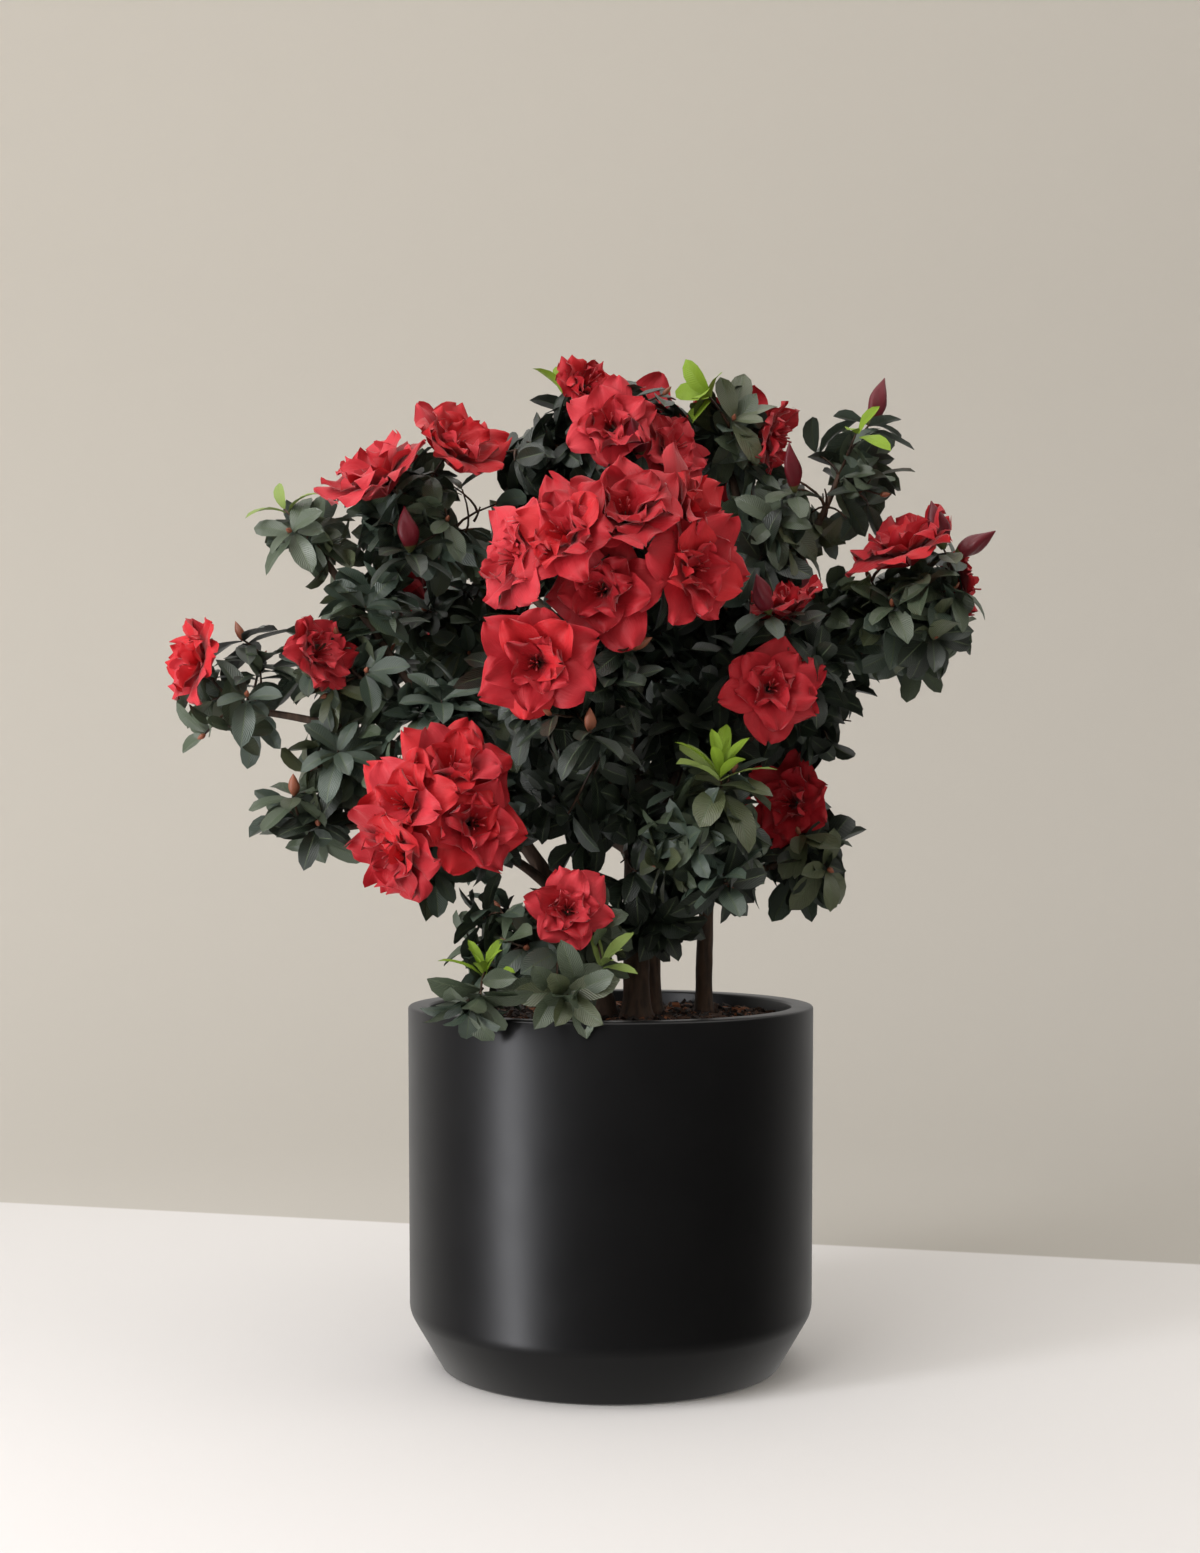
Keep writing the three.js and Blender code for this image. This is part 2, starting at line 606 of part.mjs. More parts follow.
// The planter: a drum with a bevelled foot, a flat rim and a thick floor.
function potProfile() {
  const slope = (POT_SHOULDER_RADIUS - POT_BASE_RADIUS) / POT_SHOULDER_HEIGHT;
  const innerRim = POT_RIM_RADIUS - POT_WALL;
  const innerFoot = POT_BASE_RADIUS - POT_WALL + slope * POT_WALL;
  return [
    [0, 0],
    [POT_BASE_RADIUS, 0],
    [POT_SHOULDER_RADIUS, POT_SHOULDER_HEIGHT],
    [POT_RIM_RADIUS, POT_HEIGHT],
    [innerRim, POT_HEIGHT],
    [innerRim - 1, POT_SHOULDER_HEIGHT + POT_WALL],
    [innerFoot, POT_WALL],
    [0, POT_WALL],
  ].map(([radius, height]) => new THREE.Vector2(radius, height));
}

// The soil fills the planter to just below the rim, clear of its wall and floor.
function soilProfile() {
  const [rim, , foot] = potProfile().slice(-4);
  const gap = CLEARANCE / Math.cos(Math.PI / POT_SIDES);
  const wallAt = (height) => THREE.MathUtils.lerp(
    foot.x, rim.x, (height - foot.y) / (rim.y - foot.y),
  );
  return [
    [0, POT_WALL + CLEARANCE],
    [foot.x - gap, POT_WALL + CLEARANCE],
    [wallAt(SOIL_TOP) - gap, SOIL_TOP],
    [0, SOIL_TOP],
  ].map(([radius, height]) => new THREE.Vector2(radius, height));
}

function turned(profile) {
  const geometry = new THREE.LatheGeometry(profile, POT_SIDES);
  return geometry.rotateX(Math.PI / 2);
}

function piece(name, geometry, look) {
  const made = new THREE.Mesh(geometry, new THREE.MeshStandardMaterial(COLOURS[look]));
  made.name = name;
  return made;
}

// The wood a limb takes up, with a margin, for cutting its neighbours clear of it.
function thickened(limb, sides, rings) {
  return solid(rod(limb.curve, (share) => limb.radiusAt(share) + WOOD_MARGIN, sides, rings));
}

const azalea = new THREE.Group();
azalea.add(piece('pot', turned(potProfile()), 'pot'));
azalea.add(piece('soil', turned(soilProfile()), 'soil'));

// The wood stands in order, stems before boughs, and each limb is cut clear of those before it.
const standing = [];
function addLimb(name, limb, sides, rings) {
  const whole = solid(rod(limb.curve, limb.radiusAt, sides, rings));
  const cut = wholePiece(standing.reduce((left, other) => left.subtract(other), whole));
  azalea.add(piece(name, geometryOf(cut), 'bark'));
  standing.push(thickened(limb, sides, rings));
}

const stems = Object.fromEntries(
  Object.entries(STEMS).map(([name, given]) => [name, makeStem(given)]),
);
Object.entries(stems).forEach(([name, stem]) => addLimb(name, stem, STEM_SIDES, STEM_RINGS));
const boughs = masses.map((mass) => makeBough(stems[mass.stem], mass));
boughs.forEach((bough, i) => addLimb(`bough_${masses[i].name}`, bough, BOUGH_SIDES, BOUGH_RINGS));
const planter = new THREE.CylinderGeometry(1, 1, POT_HEIGHT + POT_MARGIN, POT_SIDES);
planter.scale(POT_RIM_RADIUS + POT_MARGIN, 1, POT_RIM_RADIUS + POT_MARGIN);
planter.rotateX(Math.PI / 2).translate(0, 0, (POT_HEIGHT + POT_MARGIN) / 2);
const obstacles = [...standing, solid(planter)].map(boxed);
masses.forEach((mass, i) => {
  azalea.add(piece(`foliage_${mass.name}`, geometryOf(growMass(mass, boughs[i], obstacles)), 'foliage'));
});

export default azalea;
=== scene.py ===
"""An azalea shrub in bloom in its planter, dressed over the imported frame.

The stems, boughs, twigs and tips grow by the rule and from the sizes of the part's source, in
millimetres, and are carried on to finer twigs, real leaves and ruffled blooms.
"""

import math
from functools import lru_cache
from types import SimpleNamespace

import bmesh
import bpy
import numpy as np
from bpy.props import FloatProperty, FloatVectorProperty, PointerProperty
from mathutils import Matrix, Vector, noise


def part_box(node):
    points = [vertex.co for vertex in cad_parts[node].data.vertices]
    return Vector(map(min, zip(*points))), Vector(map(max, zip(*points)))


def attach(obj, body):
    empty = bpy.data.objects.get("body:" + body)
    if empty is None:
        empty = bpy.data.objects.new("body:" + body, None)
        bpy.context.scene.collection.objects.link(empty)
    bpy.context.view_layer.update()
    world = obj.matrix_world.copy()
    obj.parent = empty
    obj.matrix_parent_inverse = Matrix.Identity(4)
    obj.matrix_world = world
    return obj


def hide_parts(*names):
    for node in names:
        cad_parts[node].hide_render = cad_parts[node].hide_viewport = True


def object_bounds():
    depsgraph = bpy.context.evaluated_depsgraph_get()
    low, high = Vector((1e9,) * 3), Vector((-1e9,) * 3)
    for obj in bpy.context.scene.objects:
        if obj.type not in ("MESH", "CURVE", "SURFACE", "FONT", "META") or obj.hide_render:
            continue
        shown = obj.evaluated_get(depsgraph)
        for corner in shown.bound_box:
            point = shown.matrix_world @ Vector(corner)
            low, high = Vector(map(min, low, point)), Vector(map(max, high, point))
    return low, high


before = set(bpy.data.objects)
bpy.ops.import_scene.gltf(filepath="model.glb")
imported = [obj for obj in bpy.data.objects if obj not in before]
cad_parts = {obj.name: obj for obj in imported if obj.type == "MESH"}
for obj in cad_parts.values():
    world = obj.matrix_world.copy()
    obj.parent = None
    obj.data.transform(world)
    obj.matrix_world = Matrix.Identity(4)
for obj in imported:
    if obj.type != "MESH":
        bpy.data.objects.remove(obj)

CAD_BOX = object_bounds()

bl_info = {
    "name": "Azalea in its planter",
    "version": (1, 0, 0),
    "blender": (4, 5, 0),
    "location": "View3D > Sidebar > Azalea",
    "description": "Dresses the frame of a potted azalea with bark, leaves, blooms and glaze",
    "category": "Object",
}

MM = 0.001
UP = Vector((0, 0, 1))
GOLDEN_ANGLE = math.pi * (3 - math.sqrt(5))

# Sizes of the planter and its soil, read from the frame
POT_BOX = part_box("pot")
SOIL_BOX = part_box("soil")
POT_HEIGHT = POT_BOX[1].z / MM
POT_RIM_RADIUS = POT_BOX[1].x / MM
SOIL_RADIUS = SOIL_BOX[1].x / MM
SOIL_TOP = SOIL_BOX[1].z / MM
CLEARANCE = 0.3

# The source's sizes of wood and twigs
STEM_STRAIGHT = 0.3
FLARE_REACH = 7
FLARE_SPREAD = 0.55
BOUGH_BEND = 0.45
BOUGH_TO_STEM = 0.72
BOUGH_TIP_RADIUS = 2.3
CORE_RINGS = 2
CORE_BEND = 0.4
CORE_TIP_RADIUS = 2
CORE_FORKS = (0.3, 0.65, 0.97)
TWIG_BEND = 0.35
TWIG_RADIUS = 1.2
TWIG_TIP_RADIUS = 0.6
TWIG_FORKS = (0.5, 0.93)
LONG_TWIG = 42
TURNING_BACK = 1.5
PATH_COST = 0.35
TIP_OUTWARD = 0.3
TIP_UPWARD = 0.5
BLOOM_UPWARD = 0.25
BUD_UPWARD = 1.2

# The source's places of tips in a mass, and the space that a mass keeps to
SEATS = {"bloom": 0.62, "bud": 0.72, "shoot": 0.7}
LEAF_SEATS = (0.43, 0.67)
HEART_SEAT = 0.12
ENTRY_SEAT = 0.5
SPIRAL_TOP = 0.94
SPIRAL_FOOT = -0.9
LEAST_ANGLE = 0.5
CROWN_MIDDLE = Vector((0, 30, 420))
OUTER_REACH = 1.12
INNER_REACH = 1.45
POT_MARGIN = 1.5
FIRST_SEED = 1009
DRAW_FACTOR, DRAW_STEP, DRAW_RANGE = 1664525, 1013904223, 2 ** 32

# A direction this near to upright is taken across from +X rather than from up.
STEEP = 0.9

# Where a twig is tested against the wood and the planter, and where against its mass's space
TWIG_PROBES = (0.35, 0.5, 0.75, 1)
SPACE_PROBES = (0.5, 1)

# The finer leafy tips stand on shells through each mass: how deep each lies under the mass's
# surface, and how far apart its tips are. The sprigs at the left are sparse, with one open
# shell, and some masses keep their shells deeper.
SHELLS = ((28, 26), (48, 30))
DEEP_SHELLS = ((36, 24), (54, 28))
DEEP = ("right", "lower_right", "top", "top_right", "upper_left")
SPARSE_SHELLS = ((25, 43),)
SPARSE = ("high_left_sprig", "low_left_sprig", "left_tip")
LEAST_SHELL = 4
LEAST_TIPS = 3
SHELL_JITTER = 8

# A twig to a finer tip is thin and forks once. It may lean a little into the next mass, which
# is a margin below 0, and keeps these angles off its own mass's blooms and its buds and shoots.
FINE_RADIUS = 0.9
FINE_TIP_RADIUS = 0.5
FINE_FORKS = (0.6,)
LEANING_IN = -5
BLOOM_ANGLE = 0.42
BUD_ANGLE = 0.3

# How far off the soil's edge and top leaves keep, and how far apart points down a limb are
OFF_WALL = 4
OFF_SOIL = 2
WOOD_SPACING = 4
LEAST_POINTS = 4

# Where masses meet, twigs of one of them fill the space between: its middle and radii. Those
# that hang over the planter's rim add the bearing and tilt that their tips lean to.
FILLS = {
    "front": (((-14, -36, 338), (36, 34, 36)),),
    "heart": (((27, -24, 272), (14, 16, 24)), ((14, -30, 302), (24, 28, 24)),
              ((20, 36, 430), (44, 32, 44))),
    "top_right": (((100, 0, 505), (32, 30, 36)),),
    "left": (((-152, -4, 468), (24, 24, 24)), ((-168, -8, 372), (30, 26, 26))),
    "lower_left": (((-104, -22, 398), (36, 30, 24)),),
    "low_front": (((-80, -126, 229), (12, 5, 5), (-12, -66)),
                  ((-26, -116, 234), (30, 6, 6), (15, -25))),
    "top": (((-34, 20, 545), (36, 40, 26)), ((-60, -8, 562), (24, 24, 20))),
    "centre": (((0, -45, 520), (46, 26, 22)),),
    "right": (((150, 0, 462), (28, 28, 32)),),
    "right_middle": (((128, 0, 400), (30, 30, 34)),),
    "back_right": (((60, 62, 496), (34, 32, 34)), ((104, 56, 386), (34, 32, 32))),
    "back_left": (((-52, 58, 508), (36, 34, 32)), ((-62, 58, 402), (36, 32, 32))),
    "back": (((40, 122, 470), (34, 28, 28)), ((-44, 116, 384), (34, 28, 30))),
    "back_lower_right": (((14, 76, 340), (32, 30, 34)),),
}
FILL_SHELLS = ((10, 25), (30, 25))

# Where the viewer's eye is, and the sky that shows through the crown and in the notches of its
# edge from there: the place and half-width of each gap on the upright plane through the
# planter's middle.
EYE = Vector((-6.6, -1300, 326.5))
SKY_GAPS = (
    (2, 313, 9), (6, 300, 6), (-31, 321, 9), (-57, 293, 7), (-88, 526, 15), (-134, 442, 6),
    (161, 491, 8), (146, 457, 6), (127, 547, 10), (102, 560, 6), (132, 530, 7), (128, 456, 5),
    (-246, 373, 15), (-207, 312, 11), (-180, 297, 8), (-202, 492, 9), (160, 388, 13),
    (159, 311, 11), (237, 457, 8), (178, 528, 8), (28, 614, 9),
)

# Each stem stands on the soil at its foot and leans to its tip; radii are at foot and tip.
STEMS = {
    "stem_main": {"foot": (16, -6), "tip": (2, 4, 468), "radii": (8.5, 3.4), "bow": (6, -4)},
    "stem_left": {"foot": (-3, 2), "tip": (-104, -6, 388), "radii": (6.5, 3.2), "bow": (-8, 2)},
    "stem_right": {"foot": (59, 24), "tip": (92, 2, 442), "radii": (5.4, 3.2), "bow": (-14, 6)},
    "stem_back": {"foot": (26, 26), "tip": (10, 92, 418), "radii": (6.5, 3.2), "bow": (4, 8)},
}

# Each mass of foliage: the middle and radii of its space, the stem it hangs on, how far up
# that stem its bough leaves, and what its tips carry. A seat is (bearing, tilt) in degrees
# from the mass's middle: bearing 0 towards the viewer and 90 to the right, tilt upwards.
# A bloom may add the bearing and tilt that it faces and its size, and a bud or shoot the
# bearing and tilt that it points to. A mass leaves out what it doesn't carry.
MASSES = {
    "top": {
        "centre": (6, 0, 578), "radii": (76, 70, 46), "stem": "stem_main", "rise": 0.96,
        "leafy": 6, "buds": [(18, -42)], "shoots": [(-95, 48, -80, 72)],
        "blooms": [(-8, -12, -5, 15, 0.86), (58, -38, 35, 20, 0.86), (-55, 58, 30, 25, 0.66),
                   (165, 20)],
    },
    "top_right": {
        "centre": (74, 15, 572), "radii": (50, 60, 44), "stem": "stem_right", "rise": 0.95,
        "leafy": 5, "blooms": [(60, 0, 70, -15, 0.75), (165, 20)],
        "shoots": [(-40, 55, -50, 14)],
    },
    "upper_right": {
        "centre": (142, 5, 546), "radii": (54, 48, 56), "stem": "stem_right", "rise": 0.84,
        "leafy": 5, "buds": [(75, 58), (-50, -15, -20, 65)], "shoots": [(20, 42, -25, 50)],
    },
    "right": {
        "centre": (185, -10, 462), "radii": (64, 58, 60), "stem": "stem_right", "rise": 0.66,
        "leafy": 9, "blooms": [(-20, 72, -50, 62, 1.15), (112, 26, 100, 10, 0.66)],
        "buds": [(62, 62, -60, 72), (92, 52, 80, 32)],
    },
    "centre": {
        "centre": (1, -95, 487), "radii": (92, 52, 47), "stem": "stem_main", "rise": 0.8,
        "leafy": 3,
        "blooms": [(-80, -8, -55, 5), (-30, 14, -30, 15), (10, 44, 0, 32, 1.08),
                   (-12, -55, -12, -5), (62, -22, 30, -5), (95, 42, 62, 18, 1.22)],
    },
    "upper_left": {
        "centre": (-114, -10, 525), "radii": (74, 58, 64), "stem": "stem_main", "rise": 0.74,
        "leafy": 8, "blooms": [(-38, 18, -45, 48, 1.24), (60, 66, 44, 38, 1.14)],
        "buds": [(-10, -40, -20, 72)],
    },
    "high_left_sprig": {
        "centre": (-189, 5, 511), "radii": (30, 28, 34), "stem": "stem_left", "rise": 0.93,
        "leafy": 3, "shoots": [(-70, 42, -50, 50)],
    },
    "left": {
        "centre": (-161, 0, 427), "radii": (52, 54, 48), "stem": "stem_left", "rise": 0.9,
        "leafy": 6, "blooms": [(-35, 16, 50, 15, 0.8)],
    },
    "left_tip": {
        "centre": (-234, -5, 408), "radii": (48, 38, 56), "stem": "stem_left", "rise": 0.78,
        "leafy": 5, "blooms": [(-80, 42, -58, 8, 0.9)], "buds": [(160, 70)],
    },
    "low_left_sprig": {
        "centre": (-187, -10, 330), "radii": (38, 34, 34), "stem": "stem_left", "rise": 0.6,
        "leafy": 3, "buds": [(-20, 50)],
    },
    "lower_left": {
        "centre": (-102, -60, 334), "radii": (58, 50, 64), "stem": "stem_left", "rise": 0.44,
        "leafy": 5,
        "blooms": [(22, 46, 10, 35), (38, -4, 20, 5), (-48, -30, -45, -25), (-30, 12, -30, 10)],
    },
    "front": {
        "centre": (-29, -98, 407), "radii": (72, 46, 52), "stem": "stem_main", "rise": 0.6,
        "leafy": 6, "blooms": [(-20, 26, -6, -4, 1.05)],
        "buds": [(25, -40, 0, 70), (80, 40, 60, 20)],
    },
    "low_front": {
        "centre": (-44, -72, 262), "radii": (78, 52, 46), "stem": "stem_main", "rise": 0.2,
        "leafy": 6, "blooms": [(32, 42, 5, 10, 0.76)],
        "shoots": [(-38, -30, -15, 66), (50, -22, 20, 45)],
    },
    "front_right": {
        "centre": (55, -70, 327), "radii": (46, 42, 72), "stem": "stem_right", "rise": 0.4,
        "leafy": 6, "shoots": [(18, 40, 0, 66)],
    },
    "lower_right": {
        "centre": (119, 15, 314), "radii": (48, 50, 50), "stem": "stem_right", "rise": 0.34,
        "leafy": 6, "blooms": [(-55, 76, -30, 5, 0.85)],
    },
    "right_middle": {
        "centre": (104, -45, 424), "radii": (50, 48, 62), "stem": "stem_right", "rise": 0.74,
        "leafy": 5, "blooms": [(-20, -20, 5, 5, 0.9), (10, 76, -50, 68, 0.8)],
        "buds": [(-25, 44)],
    },
    "heart": {
        "centre": (48, -18, 388), "radii": (46, 44, 52), "stem": "stem_main", "rise": 0.3,
        "leafy": 4,
    },
    "back_top": {
        "centre": (30, 95, 535), "radii": (72, 58, 56), "stem": "stem_back", "rise": 0.98,
        "leafy": 6, "blooms": [(172, 34), (120, 6)], "shoots": [(-160, 60)],
    },
    "back_left": {
        "centre": (-100, 92, 462), "radii": (66, 62, 60), "stem": "stem_back", "rise": 0.8,
        "leafy": 7, "blooms": [(-150, 20), (-100, 46)],
    },
    "back_right": {
        "centre": (98, 98, 452), "radii": (66, 60, 60), "stem": "stem_back", "rise": 0.88,
        "leafy": 7, "blooms": [(140, 30)], "buds": [(100, 50)],
    },
    "back": {
        "centre": (2, 142, 418), "radii": (62, 48, 60), "stem": "stem_back", "rise": 0.72,
        "leafy": 6, "blooms": [(178, 24), (-150, -28)],
    },
    "back_lower_left": {
        "centre": (-88, 72, 345), "radii": (62, 56, 54), "stem": "stem_back", "rise": 0.46,
        "leafy": 6, "blooms": [(-150, 4)],
    },
    "back_lower_right": {
        "centre": (62, 98, 325), "radii": (60, 54, 52), "stem": "stem_back", "rise": 0.36,
        "leafy": 6, "blooms": [(160, 10)],
    },
}

# These masses' buds are small and rust brown, and the others' large and maroon.
RUST_BUDS = ("left_tip", "low_left_sprig", "front")

# The leaves of these masses make one piece each.
LEAF_PIECES = {
    "leaves_left": ("upper_left", "high_left_sprig", "left", "left_tip", "low_left_sprig",
                    "lower_left"),
    "leaves_middle": ("top", "centre", "front", "low_front", "front_right", "heart"),
    "leaves_right": ("top_right", "upper_right", "right", "lower_right", "right_middle"),
    "leaves_back": ("back_top", "back_left", "back_right", "back", "back_lower_left",
                    "back_lower_right"),
}


# The growth of the crown, in millimetres, by the source's rule

def lerp(low, high, share):
    return low + (high - low) * share


def seeded(seed):
    """A repeatable source of numbers from 0 to 1, the same as the part's source has."""
    state = seed

    def draw():
        nonlocal state
        state = (state * DRAW_FACTOR + DRAW_STEP) % DRAW_RANGE
        return state / DRAW_RANGE

    return draw


def heading(bearing, tilt):
    """The unit vector at a bearing and tilt in degrees."""
    b, t = math.radians(bearing), math.radians(tilt)
    return Vector((math.sin(b) * math.cos(t), -math.cos(b) * math.cos(t), math.sin(t)))


def across(direction, angle):
    """A unit vector square to a direction, turned by an angle about it."""
    helper = UP if abs(direction.z) < STEEP else Vector((1, 0, 0))
    side = helper.cross(direction).normalized()
    return side * math.cos(angle) + direction.cross(side) * math.sin(angle)


class Curve:
    """A Bezier curve from its first point to its last."""

    def __init__(self, *points):
        self.points = points

    def narrowed(self, share, count):
        row = self.points
        while len(row) > count:
            row = [a.lerp(b, share) for a, b in zip(row, row[1:])]
        return row

    def at(self, share):
        return self.narrowed(share, 1)[0]

    def along(self, share):
        low, high = self.narrowed(share, 2)
        return (high - low).normalized()

    def on_rod(self, rings, share):
        """The point at a share of a rod that runs straight from ring to ring."""
        ring = min(int(share * rings), rings - 1)
        low, high = self.at(ring / rings), self.at((ring + 1) / rings)
        return low.lerp(high, share * rings - ring)


def sweep(start, leaving, end, bend_share):
    """A curve that leaves its start in one direction and swings over to its end."""
    return Curve(start, start + leaving * (end - start).length * bend_share, end)


def make_stem(spec):
    start = Vector((*spec["foot"], SOIL_TOP + CLEARANCE))
    end = Vector(spec["tip"])
    low = Vector((*spec["foot"], SOIL_TOP + STEM_STRAIGHT * (end.z - SOIL_TOP)))
    high = low.lerp(end, 0.5) + Vector((*spec["bow"], 0))
    rise = end.z - start.z
    foot, tip = spec["radii"]

    def radius_at(share):
        flare = 1 + FLARE_SPREAD * math.exp(-share * rise / FLARE_REACH)
        return lerp(foot, tip, share) * flare

    return SimpleNamespace(curve=Curve(start, low, high, end), radius_at=radius_at, length=rise)


def scaled(vector, factors):
    return Vector([a * b for a, b in zip(vector, factors)])


def entry_of(mass, start):
    """Where a bough meets its mass, on the side of the space that faces the stem."""
    inward = scaled(start - mass.middle, [1 / r for r in mass.radii]).normalized()
    return mass.middle + scaled(inward, mass.radii) * ENTRY_SEAT


def make_bough(stem, mass):
    start = stem.curve.at(mass.rise)
    end = entry_of(mass, start)
    leaving = ((end - start).normalized() + stem.curve.along(mass.rise)).normalized()
    root = max(BOUGH_TIP_RADIUS, BOUGH_TO_STEM * stem.radius_at(mass.rise))
    return SimpleNamespace(
        curve=sweep(start, leaving, end, BOUGH_BEND),
        radius_at=lambda share: lerp(root, BOUGH_TIP_RADIUS, share),
        length=(end - start).length,
    )


def make_mass(name, index, spec):
    return SimpleNamespace(**{"blooms": (), "buds": (), "shoots": (), **spec}, name=name,
                           index=index, middle=Vector(spec["centre"]),
                           size=sum(spec["radii"]) / 3)


MASS_LIST = [make_mass(name, i, spec) for i, (name, spec) in enumerate(MASSES.items())]


def in_space(mass, point, margin):
    """Whether a point is in a mass's own cell and ellipsoid, by a margin at the cell's walls."""
    offset = point - mass.middle
    inward = offset.dot(CROWN_MIDDLE - mass.middle) > 0
    reach = INNER_REACH if inward else OUTER_REACH
    if scaled(offset, [1 / r for r in mass.radii]).length > reach:
        return False
    own = offset.length_squared - mass.size ** 2
    return all(
        (point - other.middle).length_squared - other.size ** 2 - own
        > 2 * (mass.middle - other.middle).length * margin
        for other in MASS_LIST if other is not mass
    )


def wood_points(limbs):
    """Points down the middle of every limb, as rows of place and radius."""
    rows = []
    for limb in limbs:
        count = max(LEAST_POINTS, round(limb.length / WOOD_SPACING))
        rows += [(*limb.curve.at(i / count), limb.radius_at(i / count)) for i in range(count + 1)]
    return np.array(rows)


def meets_wood(points, wood, margin):
    """For each row of points, whether any of them lies in a limb's wood or within a margin."""
    gaps = np.linalg.norm(points[..., None, :] - wood[:, :3], axis=-1) - wood[:, 3]
    return (gaps.min(axis=-1) < margin).any(axis=-1)


def in_planter(points):
    """Whether points are in the planter's wall, or below its rim and outside it or its soil."""
    out = np.hypot(points[..., 0], points[..., 1])
    height = points[..., 2]
    low = height < POT_HEIGHT + POT_MARGIN
    inside = (out < SOIL_RADIUS - OFF_WALL) & (height > SOIL_TOP + OFF_SOIL)
    return low & ~inside & (out < POT_RIM_RADIUS + POT_MARGIN)


def stated_tips(mass):
    """The blooms, buds and shoots that a mass states."""
    groups = (("bloom", mass.blooms), ("bud", mass.buds), ("shoot", mass.shoots))
    return [
        SimpleNamespace(kind=kind, outward=heading(*seat[:2]), depth=SEATS[kind], facing=seat[2:],
                        leaning=seat[2:] if kind != "bloom" else ())
        for kind, seats in groups for seat in seats
    ]


def leafy_tips(mass, stated, draw):
    """Leafy tips down a golden-angle spiral, wherever no bloom, bud or shoot stands."""
    tips = []
    for i in range(mass.leafy):
        height = lerp(SPIRAL_TOP, SPIRAL_FOOT, (i + 0.5) / mass.leafy)
        outward = on_sphere(height, (i + mass.index) * GOLDEN_ANGLE)
        depth = lerp(*LEAF_SEATS, draw())
        if all(tip.outward.angle(outward) > LEAST_ANGLE for tip in stated):
            tips.append(SimpleNamespace(kind="leafy", outward=outward, depth=depth, leaning=()))
    return tips


def shell_tips(middle, radii, shells, draw):
    """Leafy tips spread evenly over shells under the surface of an ellipsoid."""
    tips = []
    size = sum(radii) / 3
    for shell, (depth, spacing) in enumerate(shells):
        radius = max(size - depth, LEAST_SHELL)
        count = max(LEAST_TIPS, round(4 * math.pi * (radius / spacing) ** 2))
        for i in range(count):
            outward = on_sphere(lerp(1, -1, (i + 0.5) / count), (i + shell) * GOLDEN_ANGLE)
            share = (radius + SHELL_JITTER * (draw() - 0.5)) / size
            tips.append(SimpleNamespace(kind="fine", outward=outward, depth=share, leaning=(),
                                        at=middle + scaled(outward, radii) * share, shell=shell))
    return tips


def fine_tips(mass, stated, draw):
    """More leafy tips through a mass, which leave its blooms, buds and shoots open."""
    shells = SPARSE_SHELLS if mass.name in SPARSE else SHELLS
    if mass.name in DEEP:
        shells = DEEP_SHELLS

    def is_clear(tip):
        return all(
            tip.outward.angle(other.outward) > (BLOOM_ANGLE if other.kind == "bloom" else BUD_ANGLE)
            for other in stated
        )

    tips = shell_tips(mass.middle, mass.radii, shells, draw)
    return [tip for tip in tips if tip.shell or is_clear(tip)]


def fill_tips(mass, draw):
    """The tips that a mass sends into the spaces between itself and its neighbours."""
    tips = []
    for middle, radii, *leaning in FILLS.get(mass.name, ()):
        shells = FILL_SHELLS[:1] if leaning else FILL_SHELLS
        for tip in shell_tips(Vector(middle), radii, shells, draw):
            tip.leaning = leaning[0] if leaning else ()
            tips.append(tip)
    return tips


def on_sphere(height, turn):
    ring = math.sqrt(1 - height * height)
    return Vector((math.cos(turn) * ring, math.sin(turn) * ring, height))


